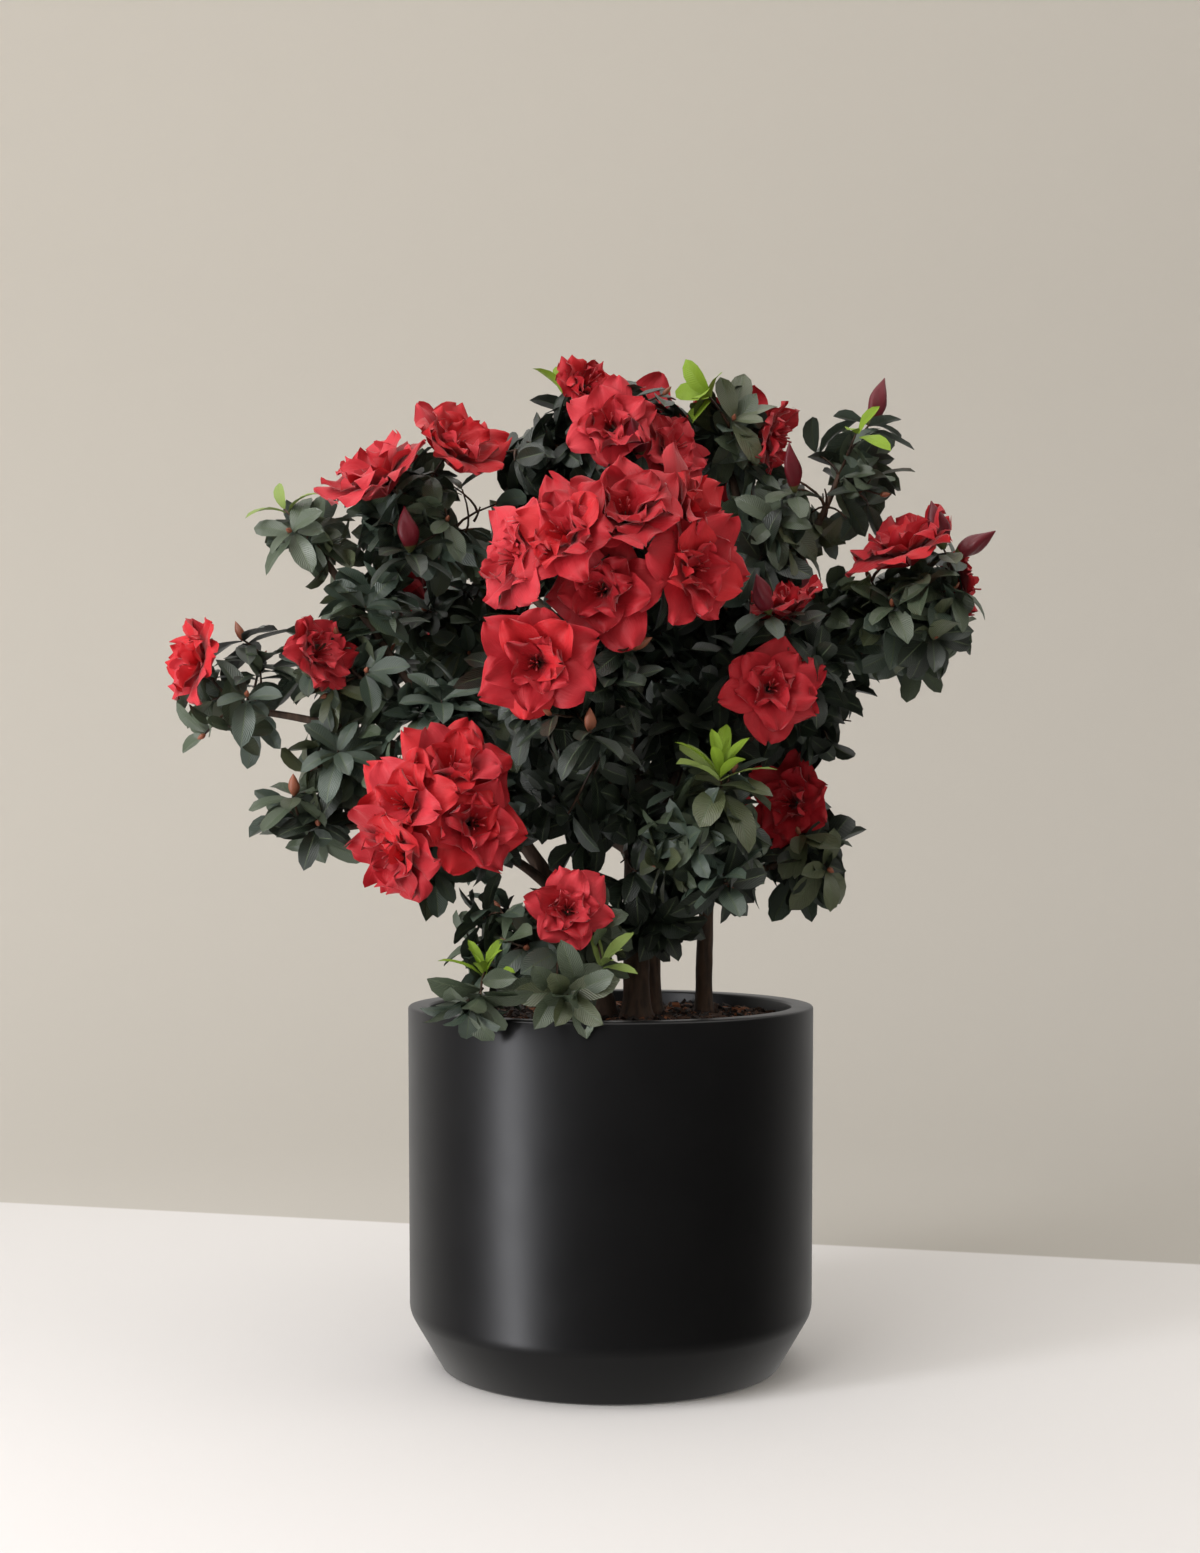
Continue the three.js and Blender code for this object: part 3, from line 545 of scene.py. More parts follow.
def grow_mass(mass, bough, wood):
    """The twigs and tips of one mass: the source's first, then finer ones between them."""
    draw = seeded(FIRST_SEED * (mass.index + 1))
    entering = bough.curve.along(1)
    start = bough.curve.at(1) + entering * CLEARANCE
    heart = mass.middle + (mass.middle - start) * HEART_SEAT
    core = sweep(start, entering, heart, CORE_BEND)
    twigs = [SimpleNamespace(curve=core, radii=(BOUGH_TIP_RADIUS, CORE_TIP_RADIUS))]
    forks = []

    def add_forks(curve, rings, shares, path, length):
        for share in shares:
            forks.append((curve.on_rod(rings, share), curve.along(share), path + share * length))

    def cost(fork, at):
        gap = at - fork[0]
        turning = 1 if gap.dot(fork[1]) > 0 else TURNING_BACK
        return gap.length * turning + PATH_COST * fork[2]

    def grow(tips, radii, shares, margin=None):
        grown = []
        tips.sort(key=lambda tip: (tip.at - start).length)
        for tip in tips:
            tip.phase = draw() * 2 * math.pi
            fork = min(forks, key=lambda fork: cost(fork, tip.at))
            leaving = ((tip.at - fork[0]).normalized() + fork[1]).normalized()
            curve = sweep(fork[0], leaving, tip.at, TWIG_BEND)
            length = (tip.at - fork[0]).length
            points = np.array([curve.at(share) for share in TWIG_PROBES])
            inside = margin is None or all(
                in_space(mass, curve.at(share), margin) for share in SPACE_PROBES)
            if not inside or meets_wood(points, wood, radii[1]) or in_planter(points).any():
                continue
            rings = 2 if length > LONG_TWIG else 1
            add_forks(curve, rings, shares, fork[2], length)
            twigs.append(SimpleNamespace(curve=curve, radii=radii))
            upward = BUD_UPWARD if tip.kind in ("bud", "shoot") else TIP_UPWARD
            raised = curve.along(1) + tip.outward * TIP_OUTWARD + UP * upward
            tip.axis = raised.normalized()
            if tip.leaning:
                tip.axis = heading(*tip.leaning)
            tip.mass, tip.curve, tip.length = mass, curve, length
            tip.number = len(twigs)
            tip.draw = seeded(int(draw() * DRAW_RANGE))
            grown.append(tip)
        return grown

    add_forks(core, CORE_RINGS, CORE_FORKS, 0, (heart - start).length)
    stated = stated_tips(mass)
    first = stated + leafy_tips(mass, stated, draw)
    for tip in first:
        tip.at = mass.middle + scaled(tip.outward, mass.radii) * tip.depth
    fine = (FINE_RADIUS, FINE_TIP_RADIUS)
    tips = grow(first, (TWIG_RADIUS, TWIG_TIP_RADIUS), TWIG_FORKS, TWIG_RADIUS)
    tips += grow(fine_tips(mass, stated, draw), fine, FINE_FORKS, LEANING_IN)
    tips += grow(fill_tips(mass, draw), fine, FINE_FORKS)
    return twigs, tips


@lru_cache(maxsize=1)
def crown():
    """The whole plant: its limbs by node name, its twigs, and its tips."""
    stems = {name: make_stem(spec) for name, spec in STEMS.items()}
    boughs = {f"bough_{mass.name}": make_bough(stems[mass.stem], mass) for mass in MASS_LIST}
    limbs = {**stems, **boughs}
    wood = wood_points(limbs.values())
    twigs, tips = [], []
    for mass in MASS_LIST:
        own = limbs[f"bough_{mass.name}"]
        others = wood_points([limb for limb in limbs.values() if limb is not own])
        more_twigs, more_tips = grow_mass(mass, own, others)
        twigs += more_twigs
        tips += more_tips
    return SimpleNamespace(limbs=limbs, wood=wood, twigs=twigs, tips=tips)


# Meshes of the many small things, from arrays

def new_piece(mesh):
    """An object for a finished mesh, smooth all over."""
    mesh.shade_smooth()
    piece = bpy.data.objects.new(mesh.name, mesh)
    bpy.context.scene.collection.objects.link(piece)
    return piece


def joined_mesh(name, points, faces, materials, looks=None, places=None):
    """One object from an array of points in millimetres, faces, and each face's material.

    places gives each point's own spot on its leaf or petal, as the object's map.
    """
    mesh = bpy.data.meshes.new(name)
    mesh.from_pydata(points.reshape(-1, 3) * MM, [], faces)
    for material in materials:
        mesh.materials.append(material)
    if looks is not None:
        mesh.polygons.foreach_set("material_index", np.ravel(looks))
    if places is not None:
        corners = np.empty(len(mesh.loops), dtype=np.int32)
        mesh.loops.foreach_get("vertex_index", corners)
        layer = mesh.uv_layers.new(name="UVMap")
        layer.data.foreach_set("uv", places[corners].ravel())
    mesh.validate()
    mesh.update()
    return new_piece(mesh)


def grid_faces(rows, columns, closed=False):
    """The four-cornered faces of a grid of points, which may close on itself across."""
    wide = columns if closed else columns - 1
    row, column = np.meshgrid(np.arange(rows - 1), np.arange(wide), indexing="ij")
    low, following = row * columns + column, row * columns + (column + 1) % columns
    return np.stack([low, following, following + columns, low + columns], axis=-1).reshape(-1, 4)


def repeated(faces, count, points_each):
    """The faces of one thing, again for each of a number of things."""
    starts = (np.arange(count) * points_each)[:, None, None]
    return (faces[None] + starts).reshape(-1, faces.shape[1])


def sheets(count, along, across_it):
    """The faces of leaves or petals, and their points' places, from their rows and columns."""
    rows, columns = len(along), len(across_it)
    faces = repeated(grid_faces(rows, columns), count, rows * columns)
    row, column = np.meshgrid(along, across_it, indexing="ij")
    places = np.tile(np.stack([column, row], axis=-1).reshape(-1, 2), (count, 1))
    return faces, places


def values_of(things, key):
    return np.array([getattr(thing, key) for thing in things])


def tube_points(curves, radii, rings, sides):
    """Points of round tapering tubes along curves, ring by ring, as (tube, ring, side, xyz)."""
    shares = np.linspace(0, 1, rings)
    middle = np.array([[curve.at(s) for s in shares] for curve in curves])
    along = np.array([[curve.along(s) for s in shares] for curve in curves])
    first = np.array([across(curve.along(0.5), 0) for curve in curves])[:, None, :]
    side = first - (first * along).sum(-1, keepdims=True) * along
    side /= np.linalg.norm(side, axis=-1, keepdims=True)
    other = np.cross(along, side)
    radii = np.array(radii)
    radius = (radii[:, :1] + (radii[:, 1:] - radii[:, :1]) * shares)[..., None, None]
    turn = np.linspace(0, 2 * math.pi, sides, endpoint=False)[:, None]
    ring = side[:, :, None] * np.cos(turn) + other[:, :, None] * np.sin(turn)
    return middle[:, :, None] + ring * radius


def tube_faces(count, rings, sides):
    """The faces of tubes, with both ends closed."""
    each = rings * sides
    walls = repeated(grid_faces(rings, sides, closed=True), count, each)
    foot = repeated(np.arange(sides)[None, ::-1], count, each)
    tip = repeated(np.arange(each - sides, each)[None], count, each)
    return [*walls.tolist(), *foot.tolist(), *tip.tolist()]


# Leaves

# The places of a leaf's points along it and across it, and the column of faces that is its
# midrib
LEAF_ROWS = np.array([0, 0.12, 0.3, 0.5, 0.7, 0.88, 1])
LEAF_COLUMNS = np.array([-1, -0.5, -0.05, 0.05, 0.5, 1])
LEAF_MIDRIB = 2

# The leaves' shapes: how far each droops, folds up along its midrib and twists
LEAF_SHAPES = ((0.1, 0.1, 0.1), (0.22, 0.14, -0.25), (0.34, 0.08, 0.3), (0.16, 0.2, 0.5),
               (0.46, 0.12, -0.1), (0.28, 0.05, -0.5))

# A leaf swells and tapers by these powers, in shares of its widest, from a narrow foot. Its
# sides wave, along it and across. A drooping leaf reaches less far, and a twist shifts a leaf's
# depth sideways only in part.
LEAF_SWELL = 0.82
LEAF_TAPER = 0.62
LEAF_WIDEST = 0.374
LEAF_FOOT = 0.03
LEAF_WAVE = 0.012
WAVES_ALONG, WAVES_ACROSS = 11, 2
DROOP_SHORTENS = 0.3
TWIST_SHIFT = 0.3

# The leaves round a twig's tip: how far their angles and sizes vary by chance, how far they
# sit off the twig's middle, and how far their faces turn to the light
WHORL_SPREAD = 0.25
WHORL_SIZES = (0.85, 1.12)
WHORL_OFF = 0.6
WHORL_TO_LIGHT = 0.5

# The leaves in turn along a twig: their stretch of it, how far apart they sit, their angle
# from it and their sizes
TWIG_STRETCH = (0.4, 0.85)
LEAF_STEP = 15
TWIG_TURN = 2
TWIG_LEAF_ANGLE = 1.05
TWIG_LEAF_SIZES = (0.6, 0.95)
TWIG_TO_LIGHT = 0.8

# A leafy tip has few leaves or many, and up to two more by chance. It opens less where it
# hangs over the rim. Leaves also stand round a bud, and as a collar under a full shoot.
FEW_LEAVES, MANY_LEAVES, BY_CHANCE = 5, 7, 3
HANGING_LEAN, OPEN_LEAN = (0.3, 1.5), (0.75, 1.6)
LEAF_SIZES = (0.78, 1.12)
BUD_WHORL = {"count": 8, "lean": (1.15, 1.9), "sizes": (0.85, 1.1), "depth": 6}
COLLAR = {"count": 7, "lean": (1.25, 1.8), "sizes": (1.1, 1.3), "back": 7}

# The young shoots: how many leaves each mass's carry, their size and how slim they are, and
# the angles from the shoot between which they open. The innermost are this share of the size.
# A full shoot's oldest leaves are pale, and a slim one may be pale all over.
SHOOTS = {
    "top": (2, 0.86, 0.8, (0.05, 0.3)),
    "top_right": (8, 1.2, 1.0, (0.3, 1.4)),
    "upper_right": (5, 1.0, 0.75, (0.5, 1.3)),
    "high_left_sprig": (3, 0.95, 0.8, (0.3, 1.0)),
    "front_right": (10, 1.25, 0.6, (0.1, 1.05)),
    "low_front": (7, 0.95, 0.6, (0.1, 0.9)),
    "back_top": (6, 0.8, 0.7, (0.3, 1.0)),
}
FULL_SHOOT = 8
PALE_LEAVES = 3
SLIM = 0.9
SHOOT_DEPTH = 5
INNER_LEAF = 0.7

# The first few of the leaves' materials are dark greens, whose midrib has one of its own, and
# the last are the young shoots'. Sprays deep in the crown get the darker greens more often, as
# painted shade, and those in the open the lighter ones, as painted light.
DARK_LEAVES = 4
MIDRIB_LOOK = 4
YOUNG_LOOKS = (5, 6)
SHADE_PAINTED_MASSES = ("heart", "centre", "front", "top", "right_middle", "back")
SHADE_PAINTED_LOOKS = (0, 0, 0, 0, 1, 2)
OPEN_LOOKS = (0, 1, 2, 2, 3, 1)

# Where a leaf is tested along its length, how far it may pass the frame's box, and how far it
# keeps off the wood. Leaves are tested against the wood a stretch at a time.
LEAF_PROBES = (0.25, 0.6, 1.0)
REACH_ALLOWED = 8
OFF_WOOD = 0.5
TESTED_AT_ONCE = 500

# No leaf stands in this space before a bloom of full size: how far round the bloom's middle,
# and from how far behind its face to how far ahead
BLOOM_CLEAR = 32
BLOOM_CLEAR_DEPTH = (-3, 42)

# How far up a shoot or bud the middle of the space round it is, and how wide that space is
CLEAR_ROUND = {"shoot": (14, 18), "bud": (15, 12)}


def leaf_shape(droop, fold, twist):
    """A leaf of length 1 and half-width 1 with its base at the origin, tip to +X, face to +Z."""
    along, aside = np.meshgrid(LEAF_ROWS, LEAF_COLUMNS, indexing="ij")
    outline = along ** LEAF_SWELL * (1 - along) ** LEAF_TAPER / LEAF_WIDEST + LEAF_FOOT
    rise = fold * np.abs(aside) * outline * 0.5 - droop * along ** 2
    rise += LEAF_WAVE * np.sin(WAVES_ALONG * along + WAVES_ACROSS * aside) * np.abs(aside)
    reach = along - DROOP_SHORTENS * droop * along ** 3
    return np.stack([reach, aside * outline, rise], -1), twist * along


def leaf_points(leaves, length, width):
    """The points of every leaf, as (leaf, row, column, xyz)."""
    shapes, twists = zip(*[leaf_shape(*shape) for shape in LEAF_SHAPES])
    which = values_of(leaves, "shape")
    shape, twist = np.array(shapes)[which], np.array(twists)[which]
    base, tip, face, size, slim = (
        values_of(leaves, key)[:, None, None] for key in ("base", "tip", "face", "size", "slim"))
    side = np.cross(face, tip)
    y = shape[..., 1] * size * slim * width / 2
    z = shape[..., 2] * size * length
    y, z = y * np.cos(twist) - z * np.sin(twist) * TWIST_SHIFT, z + y * np.sin(twist)
    x = shape[..., 0] * size * length
    return base + tip * x[..., None] + side * y[..., None] + face * z[..., None]


def one_leaf(tip, base, towards, face, size, look, slim=1):
    """A leaf at a base point. The face is turned square to the way that the leaf points."""
    towards = towards.normalized()
    face = (face - towards * face.dot(towards)).normalized()
    shape = int(tip.draw() * len(LEAF_SHAPES))
    return SimpleNamespace(base=base, tip=towards, face=face, size=size, slim=slim, look=look,
                           shape=shape, mass=tip.mass.name, owner=(tip.mass.name, tip.number))


def whorl(tip, look, count, lean, sizes, depth=7, slim=1, back=0):
    """Leaves round a twig's tip, which open wider and grow longer the further back they sit."""
    leaves = []
    for i in range(count):
        age = (i + 0.5) / count
        side = across(tip.axis, tip.phase + i * GOLDEN_ANGLE)
        angle = lerp(*lean, age) + WHORL_SPREAD * (tip.draw() - 0.5)
        towards = tip.axis * math.cos(angle) + side * math.sin(angle)
        base = tip.at - tip.axis * (depth * age + back) + side * WHORL_OFF
        size = lerp(*sizes, age) * lerp(*WHORL_SIZES, tip.draw())
        face = tip.axis + UP * WHORL_TO_LIGHT * math.sin(angle)
        leaves.append(one_leaf(tip, base, towards, face, size, look, slim))
    return leaves


def twig_leaves(tip, look):
    """Leaves in turn along the outer part of a twig."""
    count = int(tip.length / LEAF_STEP)
    leaves = []
    for i in range(count):
        share = lerp(*TWIG_STRETCH, (i + 0.5) / count)
        along = tip.curve.along(share)
        side = across(along, tip.phase + i * GOLDEN_ANGLE + TWIG_TURN)
        towards = along * math.cos(TWIG_LEAF_ANGLE) + side * math.sin(TWIG_LEAF_ANGLE)
        size = lerp(*TWIG_LEAF_SIZES, tip.draw())
        face = along + UP * TWIG_TO_LIGHT
        leaves.append(one_leaf(tip, tip.curve.at(share), towards, face, size, look))
    return leaves


def leaves_of(tip):
    """The leaves that a tip and its twig carry, with the spray's one look."""
    shade_painted = tip.mass.name in SHADE_PAINTED_MASSES
    looks = SHADE_PAINTED_LOOKS if shade_painted else OPEN_LOOKS
    look = looks[int(tip.draw() * len(looks))]
    # The finer sprays of a mass with painted shade all take the darkest green, as painted shade.
    if tip.kind == "fine" and shade_painted:
        look = 0
    own = twig_leaves(tip, look)
    if tip.kind in ("leafy", "fine"):
        few = tip.mass.name in SPARSE or tip.leaning
        count = (FEW_LEAVES if few else MANY_LEAVES) + int(tip.draw() * BY_CHANCE)
        own += whorl(tip, look, count, HANGING_LEAN if tip.leaning else OPEN_LEAN, LEAF_SIZES)
    elif tip.kind == "bud":
        own += whorl(tip, look, **BUD_WHORL)
    elif tip.kind == "shoot":
        count, size, slim, lean = SHOOTS[tip.mass.name]
        young = YOUNG_LOOKS[int(tip.draw() * 2) if slim < SLIM else 0]
        own += whorl(tip, young, count, lean, (size * INNER_LEAF, size), SHOOT_DEPTH, slim)
        if count > FULL_SHOOT:
            for leaf in own[-PALE_LEAVES:]:
                leaf.look = YOUNG_LOOKS[1]
            own += whorl(tip, look, **COLLAR)
    return own


def seen_at(points):
    """Where the viewer sees points, on the upright plane through the planter's middle."""
    share = -EYE.y / (points[..., 1] - EYE.y)
    x = EYE.x + (points[..., 0] - EYE.x) * share
    z = EYE.z + (points[..., 2] - EYE.z) * share
    return x, z


def in_sky(points):
    """For each row of points, whether the viewer sees any of them in one of the sky gaps."""
    x, z = seen_at(points)
    hidden = [np.hypot(x - gx, z - gz) < radius for gx, gz, radius in SKY_GAPS]
    return np.any(hidden, axis=0).any(axis=-1)


def before_bloom(points, blooms):
    """For each row of points, whether any of them stands in front of a bloom's face."""
    facing = values_of(blooms, "facing")
    offset = points[..., None, :] - values_of(blooms, "at")
    ahead = (offset * facing).sum(-1)
    aside = np.linalg.norm(offset - ahead[..., None] * facing, axis=-1)
    low, high = BLOOM_CLEAR_DEPTH
    near = (ahead > low) & (ahead < high) & (aside < BLOOM_CLEAR * values_of(blooms, "size"))
    return near.any(axis=(-1, -2))


def crowds(points, leaves, tips):
    """For each row of a leaf's points, whether it crowds a shoot or bud that isn't its own."""
    crowded = np.zeros(len(leaves), dtype=bool)
    for tip in tips:
        reach, clear = CLEAR_ROUND[tip.kind]
        near = np.linalg.norm(points - np.array(tip.at + tip.axis * reach), axis=-1) < clear
        own = np.array([leaf.owner == (tip.mass.name, tip.number) for leaf in leaves])
        crowded |= near.any(axis=-1) & ~own
    return crowded


def within_reach(points):
    """For each row of points, whether all of them lie in the frame's box."""
    low, high = (np.array(corner) / MM for corner in CAD_BOX)
    return ((points > low - REACH_ALLOWED) & (points < high + REACH_ALLOWED)).all(axis=(-1, -2))


def all_leaves(plant, blooms, length):
    """Every leaf that keeps off the limbs, the planter, the blooms' faces and the sky."""
    leaves = [leaf for tip in plant.tips for leaf in leaves_of(tip)]
    base, tip, size = (values_of(leaves, key) for key in ("base", "tip", "size"))
    reach = tip[:, None] * (size[:, None, None] * length)
    points = base[:, None] + reach * np.array(LEAF_PROBES)[:, None]
    bad = in_sky(points) | before_bloom(points, blooms) | ~within_reach(points)
    bad |= in_planter(points).any(axis=-1)
    bad |= crowds(points, leaves, [tip for tip in plant.tips if tip.kind in CLEAR_ROUND])
    for start in range(0, len(leaves), TESTED_AT_ONCE):
        stretch = slice(start, start + TESTED_AT_ONCE)
        bad[stretch] |= meets_wood(points[stretch, 1:], plant.wood, OFF_WOOD)
    return [leaf for leaf, out in zip(leaves, bad) if not out]


# Blooms

# How far along a petal its rows of points are, closer together where its end is rounded, how
# far across it its columns are, and how many rows are the throat's colour
PETAL_SHARES = np.array([0, 0.12, 0.24, 0.36, 0.48, 0.6, 0.71, 0.81, 0.89, 0.955, 1])
PETAL_COLUMNS = np.linspace(-1, 1, 9)
THROAT_ROWS = 2

# The rows of a double bloom, from the outside in: how many petals, their length and width
# in shares of the largest, their angles at the base and at full flare, how far their tips
# curl back, how deep they are cupped and how strongly their edges are ruffled.
PETAL_RINGS = (
    {"count": 6, "length": 1.0, "width": 1.0, "angles": (0.55, 1.36), "curl": 0.5, "cup": -0.15,
     "ruffle": 1.0},
    {"count": 5, "length": 0.86, "width": 0.82, "angles": (0.42, 1.02), "curl": 0.5, "cup": 0.1,
     "ruffle": 1.15},
    {"count": 5, "length": 0.68, "width": 0.6, "angles": (0.25, 0.62), "curl": 0.6, "cup": 0.35,
     "ruffle": 1.3},
)
RED_LOOKS = 4
THROAT_LOOK = 4
STAMENS = 5
STRAY_PETALS = 0.25
RING_TURN = 0.55
TURN_CHANCE = 0.3

# Between which shares of its own value each measure of a petal falls by chance, between which
# values its pointedness falls, and how far its cup and lean vary
PETAL_CHANCE = {"length": (0.86, 1.1), "width": (0.8, 1.1), "flare": (0.88, 1.12),
                "curl": (0.2, 1.6), "ruffle": (0.6, 1.3)}
POINTED = (0.05, 0.9)
CUP_CHANCE = 0.2
LEAN_CHANCE = 0.5

# A bloom stands a little off its twig's tip, and its openness falls between these by chance.
# One that faces upwards is more of a cup.
BLOOM_LIFT = 2
OPENNESS = (0.86, 1.08)
UPTURNED = 0.5
CUPPED = 0.9

# A petal starts off the bloom's middle, flares over its first part, swells to its widest
# place, and from there its end is round, or sharper for a pointed one. Its foot stays broad.
PETAL_START = 1.5
PETAL_FLARED = 0.6
PETAL_WIDEST = 0.62
PETAL_SWELL = 0.85
PETAL_ROUND, PETAL_SHARP, PETAL_TAPER = 0.975, 0.93, 1.15
PETAL_FOOT = 0.09

# Its sides wave along their length and its end across, and a crease runs down its middle. A
# cup draws its sides in, and a leaning petal swings aside.
SIDE_WAVES = (13, 12)
SIDE_POWER = 1.4
SIDE_GROWTH = 0.8
END_WAVES = 4.5
END_HEIGHT = 0.8
CREASE = -0.45
CREASE_WIDTH = 0.22
CUP_NARROWS = 0.12
LEAN_SWING = 0.3

# A bud's outline from foot to point, and the petals that are wound about it
BUD_ENDS = (0.03, 0.985)
BUD_FULLEST = 0.78
BUD_FULLNESS = 0.85
BUD_PETALS = 3
BUD_WINDING = 5


def bloom_facing(tip):
    """Which way a bloom faces: as its mass states, or else outwards and a little up."""
    if tip.facing:
        return heading(*tip.facing[:2])
    return (tip.outward + UP * BLOOM_UPWARD).normalized()


def all_blooms(plant):
    """Every bloom: its middle, the way it faces, how open it is, its red and its size."""
    blooms = []
    for tip in (tip for tip in plant.tips if tip.kind == "bloom"):
        facing = bloom_facing(tip)
        openness = lerp(*OPENNESS, tip.draw()) * (CUPPED if facing.z > UPTURNED else 1)
        look = int(tip.draw() * RED_LOOKS)
        size = tip.facing[2] if len(tip.facing) == 3 else 1
        blooms.append(SimpleNamespace(at=tip.at + facing * BLOOM_LIFT, facing=facing, tip=tip,
                                      look=look, openness=openness, size=size))
    return blooms


def petals_of(bloom):
    """The petals of one bloom, each with its own turn, size and ruffles."""
    draw = bloom.tip.draw
    petals = []

    def near(spec, key):
        return spec[key] * lerp(*PETAL_CHANCE[key], draw())

    for ring, spec in enumerate(PETAL_RINGS):
        spec = {**spec, "flare": spec["angles"][1] * bloom.openness,
                "length": bloom.size * spec["length"], "width": bloom.size * spec["width"]}
        for i in range(spec["count"]):
            turn = (i + TURN_CHANCE * draw()) * 2 * math.pi / spec["count"]
            petals.append({
                "turn": bloom.tip.phase + ring * RING_TURN + turn,
                "length": near(spec, "length"),
                "width": near(spec, "width"),
                "base": spec["angles"][0],
                "flare": near(spec, "flare"),
                "curl": near(spec, "curl"),
                "cup": spec["cup"] + CUP_CHANCE * (draw() - 0.5),
                "ruffle": near(spec, "ruffle"),
                "pointed": lerp(*POINTED, draw()),
                "look": bloom.look if draw() > STRAY_PETALS else (bloom.look + 1) % RED_LOOKS,
                "lean": LEAN_CHANCE * (draw() - 0.5),
                **{key: draw() * 2 * math.pi for key in ("phase_a", "phase_b", "phase_c")},
            })
    return petals


def petal_points(petals, length, width, ruffle):
    """Points of petals round +Z, as (petal, row, column, xyz)."""
    value = {key: np.array([petal[key] for petal in petals])[:, None, None] for key in petals[0]}
    along, aside = np.meshgrid(PETAL_SHARES, PETAL_COLUMNS, indexing="ij")
    reach = value["length"] * length

    # The petal's middle line, which steps out and up by its angle from +Z
    flared = np.clip(along / PETAL_FLARED, 0, 1)
    flared = flared * flared * (3 - 2 * flared)
    angle = value["base"] + (value["flare"] - value["base"]) * flared + value["curl"] * along ** 3
    step = reach * np.diff(PETAL_SHARES)[:, None]
    middle_angle = (angle[:, 1:] + angle[:, :-1]) / 2
    start = np.zeros_like(angle[:, :1])
    out, up = (np.concatenate([start, np.cumsum(part(middle_angle) * step, axis=1)], axis=1)
               for part in (np.sin, np.cos))

    # Its half-width
    late = np.clip((along - PETAL_WIDEST) / (1 - PETAL_WIDEST), 0, 1)
    early = np.sin(math.pi / 2 * np.clip(along / PETAL_WIDEST, 0, 1)) ** PETAL_SWELL
    round_end = np.sqrt(1 - (PETAL_ROUND * late) ** 2)
    sharp_end = 1 - PETAL_SHARP * late ** PETAL_TAPER
    outline = early * (round_end + (sharp_end - round_end) * value["pointed"])
    half = value["width"] * width / 2 * (outline + PETAL_FOOT * (1 - along))

    # Its ruffles, crease and cup, square to the middle line
    sides = sum(
        np.sin(count * along + value[key]) * np.clip(side, 0, 1) ** SIDE_POWER
        for count, key, side in zip(SIDE_WAVES, ("phase_a", "phase_b"), (aside, -aside)))
    end = END_HEIGHT * np.sin(END_WAVES * aside + value["phase_c"]) * along ** 4
    crease = CREASE * np.exp(-(aside / CREASE_WIDTH) ** 2) * np.sin(math.pi * along)
    lift = ruffle * value["ruffle"] * (sides * along ** SIDE_GROWTH + end + crease)
    lift = lift + value["cup"] * half * aside ** 2
    sideways = half * aside * (1 - CUP_NARROWS * np.abs(value["cup"]))
    sideways = sideways + value["lean"] * along ** 2 * reach * LEAN_SWING
    out = PETAL_START + out - np.cos(angle) * lift
    up = up + np.sin(angle) * lift
    turn = value["turn"]
    x = out * np.cos(turn) - sideways * np.sin(turn)
    y = out * np.sin(turn) + sideways * np.cos(turn)
    return np.stack([x, y, up], axis=-1)


def frame_of(facing):
    """Axes for a thing that faces a way, as the columns of an array."""
    side = across(facing, 0)
    return np.array([side, facing.cross(side), facing]).T


def placed(points, facings, origins):
    """Points of things round +Z, turned to face their ways and moved to their origins."""
    axes = np.array([frame_of(facing) for facing in facings])
    turned = np.einsum("nij,n...j->n...i", axes, points)
    return turned + np.array(origins).reshape(-1, *([1] * (points.ndim - 2)), 3)


def bud_points(lengths, radii, rows, sides, lobes):
    """Points of pointed buds along +Z, as (bud, row, side, xyz), with petals wound round."""
    share = np.linspace(0, 1, rows)[:, None]
    turn = np.linspace(0, 2 * math.pi, sides, endpoint=False)
    outline = np.sin(math.pi * np.clip(share, *BUD_ENDS) ** BUD_FULLEST) ** BUD_FULLNESS
    wound = np.cos(BUD_PETALS * turn + BUD_WINDING * share) * np.sin(math.pi * share)
    radius = outline * (1 + lobes * wound) * np.array(radii)[:, None, None]
    height = np.broadcast_to(share * np.array(lengths)[:, None, None], radius.shape)
    return np.stack([radius * np.cos(turn), radius * np.sin(turn), height], axis=-1)


# Materials

def add_node(tree, kind, sockets=(), **settings):
    """A new shader node with its settings, and its sockets linked or set."""
    node = tree.nodes.new("ShaderNode" + kind)
    for name, value in settings.items():
        setattr(node, name, value)
    for name, value in dict(sockets).items():
        if isinstance(value, bpy.types.NodeSocket):
            tree.links.new(value, node.inputs[name])
        else:
            node.inputs[name].default_value = value
    return node


def maths(tree, operation, *values):
    """What a Math node makes of numbers and sockets."""
    return add_node(tree, "Math", enumerate(values), operation=operation).outputs["Value"]


def place_on(tree, source):
    """A shader's coordinates on the object or on its map."""
    return add_node(tree, "TexCoord").outputs[source]


def colour_ramp(tree, factor, stops):
    """A colour that runs through stops of (place, colour) by a factor."""
    ramp = add_node(tree, "ValToRGB", {"Fac": factor})
    elements = ramp.color_ramp.elements
    while len(elements) < len(stops):
        elements.new(0.5)
    for element, (place, colour) in zip(elements, stops):
        element.position = place
        element.color = (*colour, 1)
    return ramp.outputs["Color"]


def node_group(name, inputs, output):
    """A new group of shader nodes with named inputs and one output, and its end nodes."""
    tree = bpy.data.node_groups.new(name, "ShaderNodeTree")
    for label, value in inputs.items():
        socket = tree.interface.new_socket(
            name=label, in_out="INPUT", socket_type="NodeSocketFloat")
        socket.default_value = value
    tree.interface.new_socket(name=output, in_out="OUTPUT", socket_type="NodeSocketFloat")
    return tree, tree.nodes.new("NodeGroupInput"), tree.nodes.new("NodeGroupOutput")


